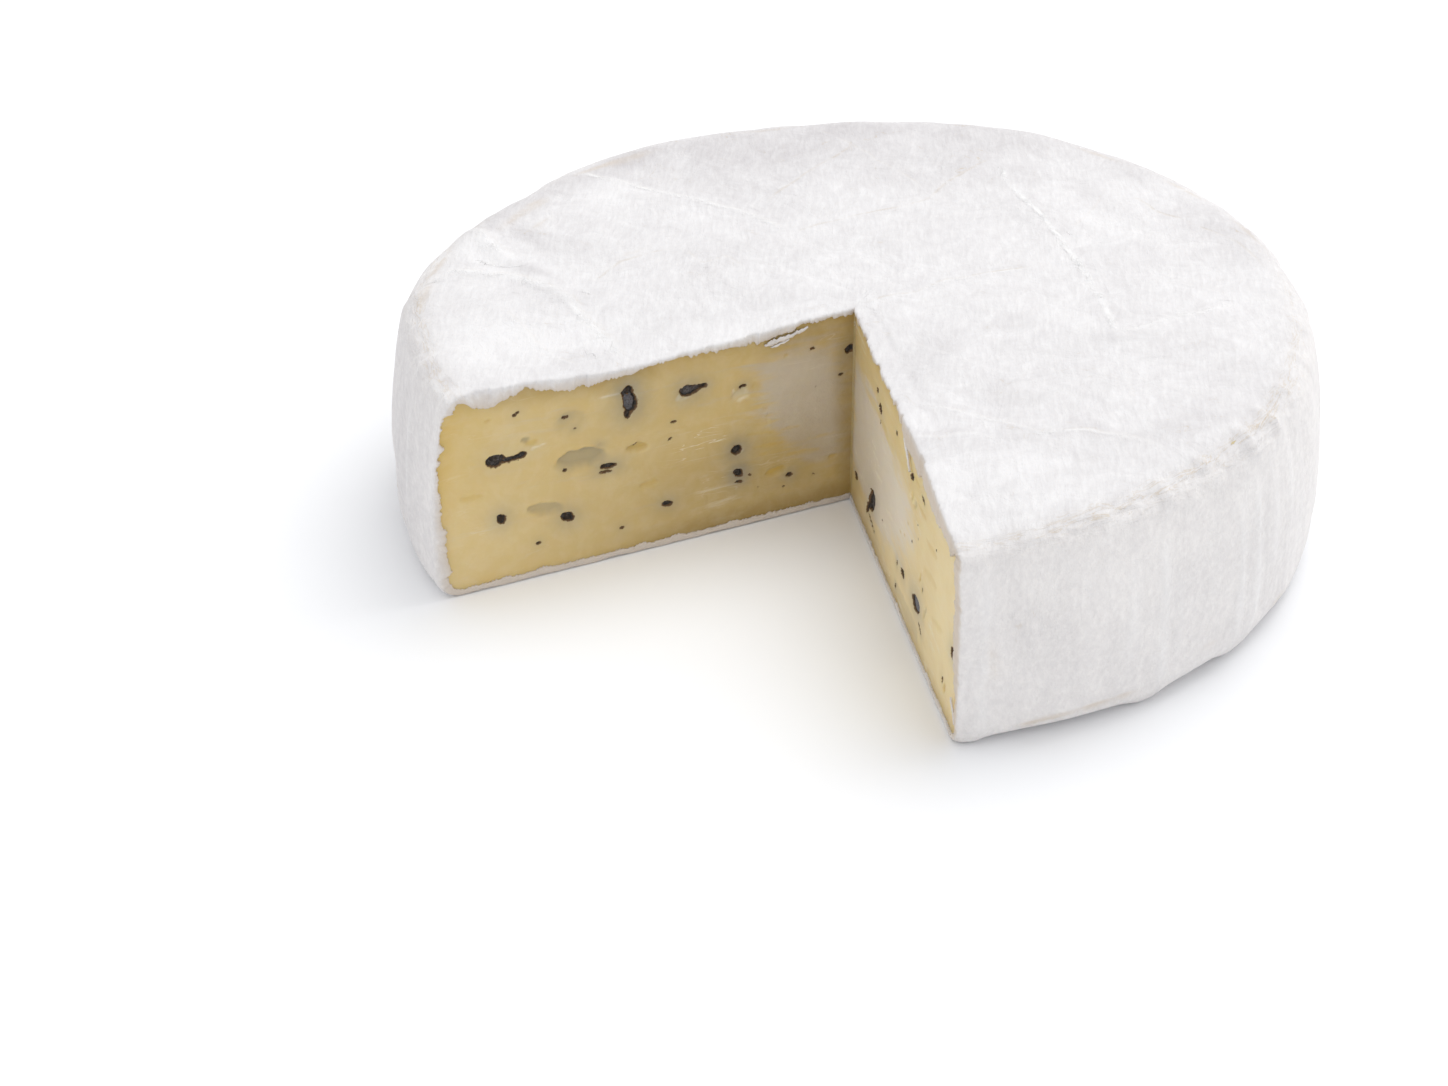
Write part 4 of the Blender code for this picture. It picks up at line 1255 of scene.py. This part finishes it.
# Shallow marks without mould: along, height, length, breadth, slope, depth, strength and kind.
faceSpots = {
    "left": [
        (60, 30.3, 5.4, 2, 4, 0.8, 0.55, "glaze"), (21.7, 13.8, 5.8, 2, -6, 0.5, 0.7, "glaze"),
        # The thin halo along the upper edge of the wide hollow at 75, 30.9 is painted shade.
        (75, 30.9, 12.8, 4.8, 3, 0.9, 0.7, "hollow"), (74, 33.1, 9, 0.8, 4, 0.2, 0.35, "halo"),
        (32, 38.6, 4.6, 2.6, -30, 0.5, 0.3, "pale"), (31, 37.2, 3.4, 0.7, -12, 0.2, 0.55, "pale"),
        (33.7, 39.6, 0.8, 1.8, -12, 0.2, 0.55, "pale"), (48.6, 41.6, 1.2, 1.6, 30, 0.2, 0.6, "pale"),
        (47, 40.9, 3, 0.6, -16, 0.2, 0.45, "pale"), (87.6, 38.4, 3.6, 1.4, -8, 0.3, 0.45, "glaze"),
        (89.3, 39.5, 2.2, 1.3, 0, 0.5, 0.55, "hollow"), (86, 37, 3.4, 0.5, -10, 0.2, 0.5, "pale"),
        (67.3, 46.5, 6.2, 0.45, -2, 0.1, 0.6, "pale"), (98.9, 47.2, 1.3, 0.7, 0, 0.3, 0.6, "glaze"),
        (27.4, 39.2, 2.8, 3, 0, 0.1, 0.3, "glaze"), (5.4, 14.2, 2.4, 0.9, 0, 0.3, 0.45, "glaze"),
        (19, 46.6, 1.3, 0.6, 0, 0.3, 0.45, "glaze"), (24.8, 32.8, 1.6, 0.7, 0, 0.2, 0.4, "glaze"),
        (24, 30.6, 1.6, 0.7, 0, 0.2, 0.35, "glaze"), (26, 26, 8, 0.8, 6, 0.1, 0.35, "glaze"),
        (22, 19.5, 9, 0.9, 2, 0.1, 0.35, "glaze"), (85, 19, 9, 3, 10, 0.6, 0.5, "hollow"),
        (57, 19, 5, 1.6, -5, 0.4, 0.4, "glaze"), (77.3, 41.8, 8, 6, 0, 0.1, 0.24, "hollow"),
        (104, 27, 6, 1.8, 5, 0.3, 0.35, "glaze"), (14, 17.5, 9, 1.1, 4, 0.1, 0.35, "glaze"),
        (24, 22, 8, 1, 3, 0.1, 0.35, "glaze"), (9, 21, 7, 0.8, 0, 0.1, 0.3, "glaze"),
        (30, 18, 6, 1.1, 4, 0.1, 0.3, "glaze"), (18, 25.5, 6, 0.9, 0, 0.1, 0.3, "glaze"),
        (36, 22, 7, 1.2, 0, 0.1, 0.25, "glaze"),
    ],
    "right": [
        (74.4, 22.2, 3.2, 1, 65, 0.6, 0.6, "glaze"), (99.7, 7.7, 3.4, 1.3, 60, 0.5, 0.6, "glaze"),
        (67, 38, 4, 1.6, 40, 0.4, 0.35, "hollow"), (42, 20, 7, 1.2, 10, 0.2, 0.35, "pale"),
        (80, 16, 5, 1, 60, 0.3, 0.3, "hollow"), (30, 24, 8, 1, 8, 0.1, 0.35, "pale"),
        (64, 38.5, 3, 1.2, 60, 0.4, 0.45, "glaze"), (84, 28, 12, 2.4, 10, 0.1, 0.3, "glaze"),
        (62, 5, 34, 4.5, 0, 0, 0.28, "hollow"), (92, 20, 10, 1.6, 14, 0.1, 0.25, "glaze"),
        (66, 44.8, 11, 1.1, 2, 0.1, 0.4, "glaze"), (74, 40, 9, 1.3, 4, 0.1, 0.35, "glaze"),
        (84, 36, 11, 1.6, 6, 0.1, 0.3, "glaze"), (58, 24, 1.6, 0.7, 10, 0.1, 0.6, "glaze"),
        (54, 22.5, 1.4, 0.6, 10, 0.1, 0.6, "glaze"), (61, 29, 1.4, 0.6, 10, 0.1, 0.6, "glaze"),
        (80, 47, 12, 1, 0, 0.1, 0.35, "hollow"),
    ],
}
# Outline of the chalky middle on each face.
chalkOutlines = {
    "left": [
        (26.5, 45), (20, 48.5), (13, 50), (6, 47), (2.5, 40), (1.5, 30), (1.2, 14), (8, 14.5), (14, 18),
        (21, 22.5), (24, 29), (26.5, 37),
    ],
    "right": [
        (1.5, 40), (14, 43), (30, 41), (46, 39), (59, 35), (66, 27), (52, 14), (34, 9), (12, 10), (1.5, 14),
    ],
}
pasteLayers = ("mouldGap", "halo", "chalk", "edge", "smear", "pale", "glaze", "hollow", "tone", "low")


# Gap in millimetres from a place to a slanted oval, less than 0 inside it.
def gapToOval(s, z, oval):
    atS, atZ, length, breadth, slope = oval[:5]
    turn = math.radians(slope)
    ds = s - atS
    dz = z - atZ
    p = (ds * math.cos(turn) + dz * math.sin(turn)) / (length / 2)
    q = (dz * math.cos(turn) - ds * math.sin(turn)) / (breadth / 2)
    far = math.hypot(p, q)
    steep = math.hypot(p / (length / 2), q / (breadth / 2))
    return far * (far - 1) / max(steep, 0.0001)


# How far inside an outline a place is, in millimetres, less than 0 outside it.
def insideOutline(s, z, outline):
    nearest = 1000.0
    inside = False
    for (ax, ay), (bx, by) in zip(outline, outline[1:] + outline[:1]):
        dx, dy = bx - ax, by - ay
        share = min(1.0, max(0.0, ((s - ax) * dx + (z - ay) * dy) / (dx * dx + dy * dy)))
        nearest = min(nearest, math.hypot(s - ax - share * dx, z - ay - share * dy))
        if (ay > z) != (by > z) and s < ax + dx * (z - ay) / dy:
            inside = not inside
    return nearest if inside else -nearest


# Depth and colour marks of a place on a cut face, given in millimetres.
def faceMarks(side, s, z, under):
    seed = 0.0 if side == "left" else 20.0
    wobble = 0.50 * noiseAt(s / 1.7, z / 1.7, 0, seed) + 0.25 * noiseAt(s / 0.8, z / 0.8, 0, seed + 3)
    depth = paste["wave"] * noiseAt(s / 16, z / 11, 0, seed + 1) / mm
    depth += paste["drag"] * noiseAt(s / 9, z / 1.6, 0, seed + 2) / mm
    found = dict.fromkeys(pasteLayers, 0.0)
    found["mouldGap"] = 3.0
    for pit in facePits[side]:
        atS, atZ, length, breadth, slope, deep, mouldy, halo = pit
        if abs(s - atS) > 9 or abs(z - atZ) > 9:
            continue
        size = min(1.0, breadth / 2.4)
        gap = gapToOval(s, z, pit) + wobble * size
        depth = max(depth, deep * smoothStep(0.05, -0.75 * size, gap))
        if mouldy > 0.3:
            found["mouldGap"] = min(found["mouldGap"], gap)
        reach = 0.8 + 0.7 * breadth
        found["halo"] = max(found["halo"], halo * math.exp(-((max(0.0, gap) / reach) ** 1.4)))
    for mark in faceSpots[side]:
        atS, atZ, length, breadth, slope, deep, strength, kind = mark
        if abs(s - atS) > 12 or abs(z - atZ) > 8:
            continue
        gap = gapToOval(s, z, mark) + 0.8 * wobble * min(1.0, breadth)
        # A mark's upper edge is crisp and its lower edge fades out.
        soft = mix(0.30, 0.42 * breadth, smoothStep(0.3, -0.3, (z - atZ) / breadth))
        inside = smoothStep(soft, -soft, gap)
        depth += deep * inside
        found[kind] = max(found[kind], strength * inside)
    cloud = 0.12 * noiseAt(s / 22, z / 14, 0, seed + 9)
    if side == "left":
        # Painted shade over the whole left face, a little less towards its outer end; the cloud is random
        # tone.
        found["tone"] = 1.0 - 0.35 * smoothStep(70, 110, s) + cloud
        # low: painted shade over the lower part, along the bottom, under the rind and by the notch's point,
        # partly the paste's own darker colour.
        low = 0.46 * smoothStep(34, 15, z + 10 * cloud) * smoothStep(-4, 16, s)
        low = max(low, 0.97 * smoothStep(12, 1.5, z)) * smoothStep(85, 35, s)
        low = max(low, 0.60 * smoothStep(42, 53, z + 8 * cloud) * smoothStep(50, 12, s))
        underRind = mix(0.36, 0.74, smoothStep(50, 60, s) * smoothStep(108, 94, s))
        low = max(low, underRind * smoothStep(9, 0.8, under))
        low = max(low, 0.72 * smoothStep(8, 1.5, s))
        found["glaze"] = max(found["glaze"], 0.26 * smoothStep(92, 108, s) * smoothStep(20, 36, z))
        fade = 6.0
    else:
        # Painted shade towards the notch's point; the cloud is random tone.
        found["tone"] = 0.65 * smoothStep(60, 10, s) + cloud
        # low: painted shade along the bottom, under the rind and by the notch's point, partly the paste's
        # own darker colour.
        low = 0.68 * smoothStep(6.5, 1.0, z) * mix(0.6, 1.0, smoothStep(60, 20, s))
        low = max(low, 0.20 * smoothStep(6, 0.8, under), 0.6 * smoothStep(2.6, 0.2, s))
        fade = mix(4.5, 13.0, smoothStep(38, 60, s))
    found["low"] = low
    streak = 2.0 * noiseAt(s / 7, z / 1.3, 0, seed + 6) + 2.8 * noiseAt(s / 9, z / 6, 0, seed + 7)
    found["chalk"] = smoothStep(-fade, fade, insideOutline(s, z, chalkOutlines[side]) + streak)
    if side == "left":
        found["smear"] = 0.25 * smoothStep(0.15, 0.45, noiseAt(s / 14, z / 5, 0, seed + 8))
        found["smear"] = max(found["smear"], 0.9 * smoothStep(9, 3, math.hypot((s - 43) / 1.7, z - 27.5)))
        found["smear"] = max(found["smear"], 0.6 * smoothStep(8, 3, math.hypot((s - 38) / 1.2, z - 12)))
    else:
        found["smear"] = 0.7 * smoothStep(-0.1, 0.35, noiseAt(s / 16, z / 7, 0, seed + 8))
    return depth, found


# Radius of the plain turned wheel at a height, and the lean of its skin there.
def blankRadius(z):
    edge = wheel["height"] - wheel["lipDrop"]
    if z > edge:
        turn = math.asin(min(1.0, (z - edge) / wheel["lipDrop"]))
        return wheel["radius"] - sideInset(z) - wheel["lipWidth"] * (1 - math.cos(turn)), turn
    if z < wheel["footRise"]:
        turn = math.asin(min(1.0, 1 - z / wheel["footRise"]))
        return wheel["radius"] - sideInset(z) - wheel["footWidth"] * (1 - math.cos(turn)), -turn
    return wheel["radius"] - sideInset(z), 0.0


# Gives places on one cut face by the share of the way out along it and the row up it.
class CutFace:
    def __init__(self, side):
        bearing, self.along, self.inward, self.corner = cutFrame(side)
        self.outer = []
        for step in range(paste["faceRows"] + 1):
            z = wheel["height"] * step / paste["faceRows"]
            radius, lean = blankRadius(z)
            place, out, topness, around, down = skinPoint(notchPoint, bearing, (1.0, radius, z, lean))
            place -= out * paste["underSkin"]
            self.outer.append(((place - self.corner).dot(self.along), place.z))

    def sunkTop(self, s):
        place = self.corner + self.along * s
        height = wheel["swellHeight"] * noise.noise(Vector((place.x, place.y, 0.3)) / wheel["swellSize"])
        return height + foldsAt(place.x, place.y) - slumpAt(place.x, place.y)

    def plainHeight(self, s, share):
        return wheel["height"] * share + self.sunkTop(s) * share ** 2

    def place(self, out, row):
        share = row / paste["faceRows"]
        reach, outerHeight = self.outer[row]
        s = reach * out
        z = self.plainHeight(s, share)
        edge = paste["underSkin"]
        z = edge + z * (1 - 2 * edge / wheel["height"])
        atRim = edge + self.plainHeight(reach, share) * (1 - 2 * edge / wheel["height"])
        z += (outerHeight - atRim) * out ** 8
        return s, z


def makePasteBody():
    values = paste
    faces = {"left": CutFace("left"), "right": CutFace("right")}
    count = values["faceColumns"]
    columns = [("left", 1 - step / count) for step in range(count)]
    columns += [("right", step / count) for step in range(count + 1)]
    columns += [
        ("round", mix(rightCut, leftCut, step / values["roundColumns"]))
        for step in range(1, values["roundColumns"])
    ]
    columns += [("left", 1.0)]
    caps = values["capRows"]
    rows = values["faceRows"] + 2 * caps
    sunkStart = notchStart(values["sunk"])
    shape = newGrid(len(columns) - 1, rows)
    layers = {name: shape.verts.layers.float.new(name) for name in pasteLayers}
    height = wheel["height"]
    for vert in shape.verts:
        i, j = gridPlace(vert, len(columns) - 1, rows)
        kind, value = columns[i]
        row = min(values["faceRows"], max(0, j - caps))
        found = {"mouldGap": 3.0, "edge": 0.0}
        if kind == "round":
            z = height * row / values["faceRows"]
            radius, lean = blankRadius(z)
            place, out, topness, around, down = skinPoint(sunkStart, value, (1.0, radius, z, lean))
            place -= out * (2 * values["underSkin"])
        else:
            face = faces[kind]
            s, z = face.place(value, row)
            reach, outerHeight = face.outer[row]
            topHeight = face.plainHeight(s, 1.0)
            fromApex = smoothStep(0.0, 1.5, s / mm)
            depth, found = faceMarks(kind, s / mm, z / mm, (topHeight - z) / mm)
            found["edge"] = min(12.0, (reach - s) / mm, (topHeight - z) / mm, 1.5 * z / mm)
            depth = values["sunk"] + depth * mm * fromApex
            # The sunk faces meet a little behind the notch's point.
            back = values["sunk"] / math.tan(halfNotch) * (1 - value)
            place = face.corner + face.along * (s - back) + face.inward * depth
            place.z = z
        if j < caps or j > rows - caps:
            share = (caps - j) / caps if j < caps else (j - rows + caps) / caps
            place.x = mix(place.x, values["middle"][0], share)
            place.y = mix(place.y, values["middle"][1], share)
            if j > rows - caps:
                top = shapeSkin(place.x, place.y, height, math.pi / 2)[0]
                sinking = min(1.0, 4 * share)
                place.z = mix(place.z, top.z, sinking) - values["capSink"] * sinking
        vert.co = place
        for name, layer in layers.items():
            vert[layer] = found.get(name, 0.0)
    finishPiece("paste", shape, pasteMaterial)


# Small downy lumps of mould in the larger mouldy pits.
mouldLump = {
    "leastMould": 0.9,
    "leastBreadth": 1.2,
    "rough": 0.22,
    "fineRough": 0.12,
    "fill": 0.90,
    "sunk": 0.74,
    "above": 0.26,
    "below": 0.5,
}


def makeMouldLumps(side):
    values = mouldLump
    bearing, along, inward, corner = cutFrame(side)
    shape = bmesh.new()
    bloomLayer = shape.verts.layers.float.new("bloom")
    for index, (s, z, length, breadth, slope, deep, mouldy, halo) in enumerate(facePits[side]):
        if mouldy < values["leastMould"] or breadth < values["leastBreadth"]:
            continue
        lump = bmesh.ops.create_icosphere(shape, subdivisions=4, radius=1.0)["verts"]
        turn = math.radians(slope)
        for vert in lump:
            way = vert.co.copy()
            rough = 1 + values["rough"] * noise.noise(way * 1.6 + Vector((index * 3.1, 0, 0)))
            rough += values["fineRough"] * noise.noise(way * 5 + Vector((0, index * 2.3, 0)))
            spread = max(0.02, 1 - abs(way.z) ** 3) ** 0.5 / max(0.02, math.hypot(way.x, way.y))
            spread = min(1.5, spread) * rough * values["fill"]
            p = way.x * spread * length / 2
            q = way.y * spread * breadth / 2
            tall = values["above"] if way.z > 0 else values["below"]
            sink = deep * values["sunk"] - way.z * rough * deep * tall
            place = corner + along * ((s + p * math.cos(turn) - q * math.sin(turn)) * mm)
            place += inward * (paste["sunk"] + sink * mm)
            place.z = (z + p * math.sin(turn) + q * math.cos(turn)) * mm
            vert.co = place
            vert[bloomLayer] = max(0.0, mouldy - 1) * smoothStep(-0.2, 0.5, way.z)
    finishPiece(side + "Mould", shape, mouldMaterial, weld=None)


makeRindShell()
makeTornEdge("left")
makeTornEdge("right")
makeHangingFlakes("left")
makeHangingFlakes("right")
makePasteBody()
makeMouldLumps("left")
makeMouldLumps("right")


studio = {
    "floorSize": 4.0,
    "floorBelow": 0.00005,
    "floorColour": (0.94, 0.95, 0.97),
    "worldColour": (1.0, 1.0, 1.0),
    "worldStrength": 0.90,
    "lampPlace": (0.45, 0.55, 1.30),
    "lampTarget": (0.0, 0.0, 0.03),
    "lampSize": 1.2,
    "lampWatts": 8.5,
    "lampColour": (1.0, 1.0, 1.0),
    "lens": 74.586,
    "sensorWidth": 36.0,
    "nearest": 0.01,
    "cameraPlace": (0.0, -0.6805, 0.4012),
    "cameraTurn": (58.35, 0.0, 2.991),
}


def makeFloor():
    shape = bmesh.new()
    bmesh.ops.create_grid(shape, x_segments=2, y_segments=2, size=studio["floorSize"])
    for vert in shape.verts:
        vert.co.z = -studio["floorBelow"]
    mesh = bpy.data.meshes.new("floor")
    shape.to_mesh(mesh)
    shape.free()
    surface = {"Base Color": (*studio["floorColour"], 1.0), "Roughness": 0.9, "Specular IOR Level": 0.1}
    mesh.materials.append(newMaterial("paleFloor", surface)[0])
    floor = bpy.data.objects.new("floor", mesh)
    bpy.context.scene.collection.objects.link(floor)


def addLamp():
    lamp = bpy.data.lights.new("softTop", "AREA")
    lamp.shape = "DISK"
    lamp.size = studio["lampSize"]
    lamp.energy = studio["lampWatts"]
    lamp.color = studio["lampColour"]
    light = bpy.data.objects.new("softTop", lamp)
    way = Vector(studio["lampTarget"]) - Vector(studio["lampPlace"])
    light.location = studio["lampPlace"]
    light.rotation_euler = way.to_track_quat("-Z", "Y").to_euler()
    bpy.context.scene.collection.objects.link(light)


def makeStudio():
    world = bpy.data.worlds.new("paleStudio")
    world.use_nodes = True
    background = world.node_tree.nodes["Background"]
    background.inputs["Color"].default_value = (*studio["worldColour"], 1.0)
    background.inputs["Strength"].default_value = studio["worldStrength"]
    bpy.context.scene.world = world
    addLamp()
    camera = bpy.data.cameras.new("camera")
    camera.lens = studio["lens"]
    camera.sensor_width = studio["sensorWidth"]
    camera.sensor_fit = "HORIZONTAL"
    camera.clip_start = studio["nearest"]
    view = bpy.data.objects.new("camera", camera)
    view.location = studio["cameraPlace"]
    view.rotation_euler = [math.radians(degrees) for degrees in studio["cameraTurn"]]
    bpy.context.scene.collection.objects.link(view)
    bpy.context.scene.camera = view
    bpy.context.scene.view_settings.view_transform = "Standard"


makeFloor()
makeStudio()
print("cheese: floor, light and camera ready")
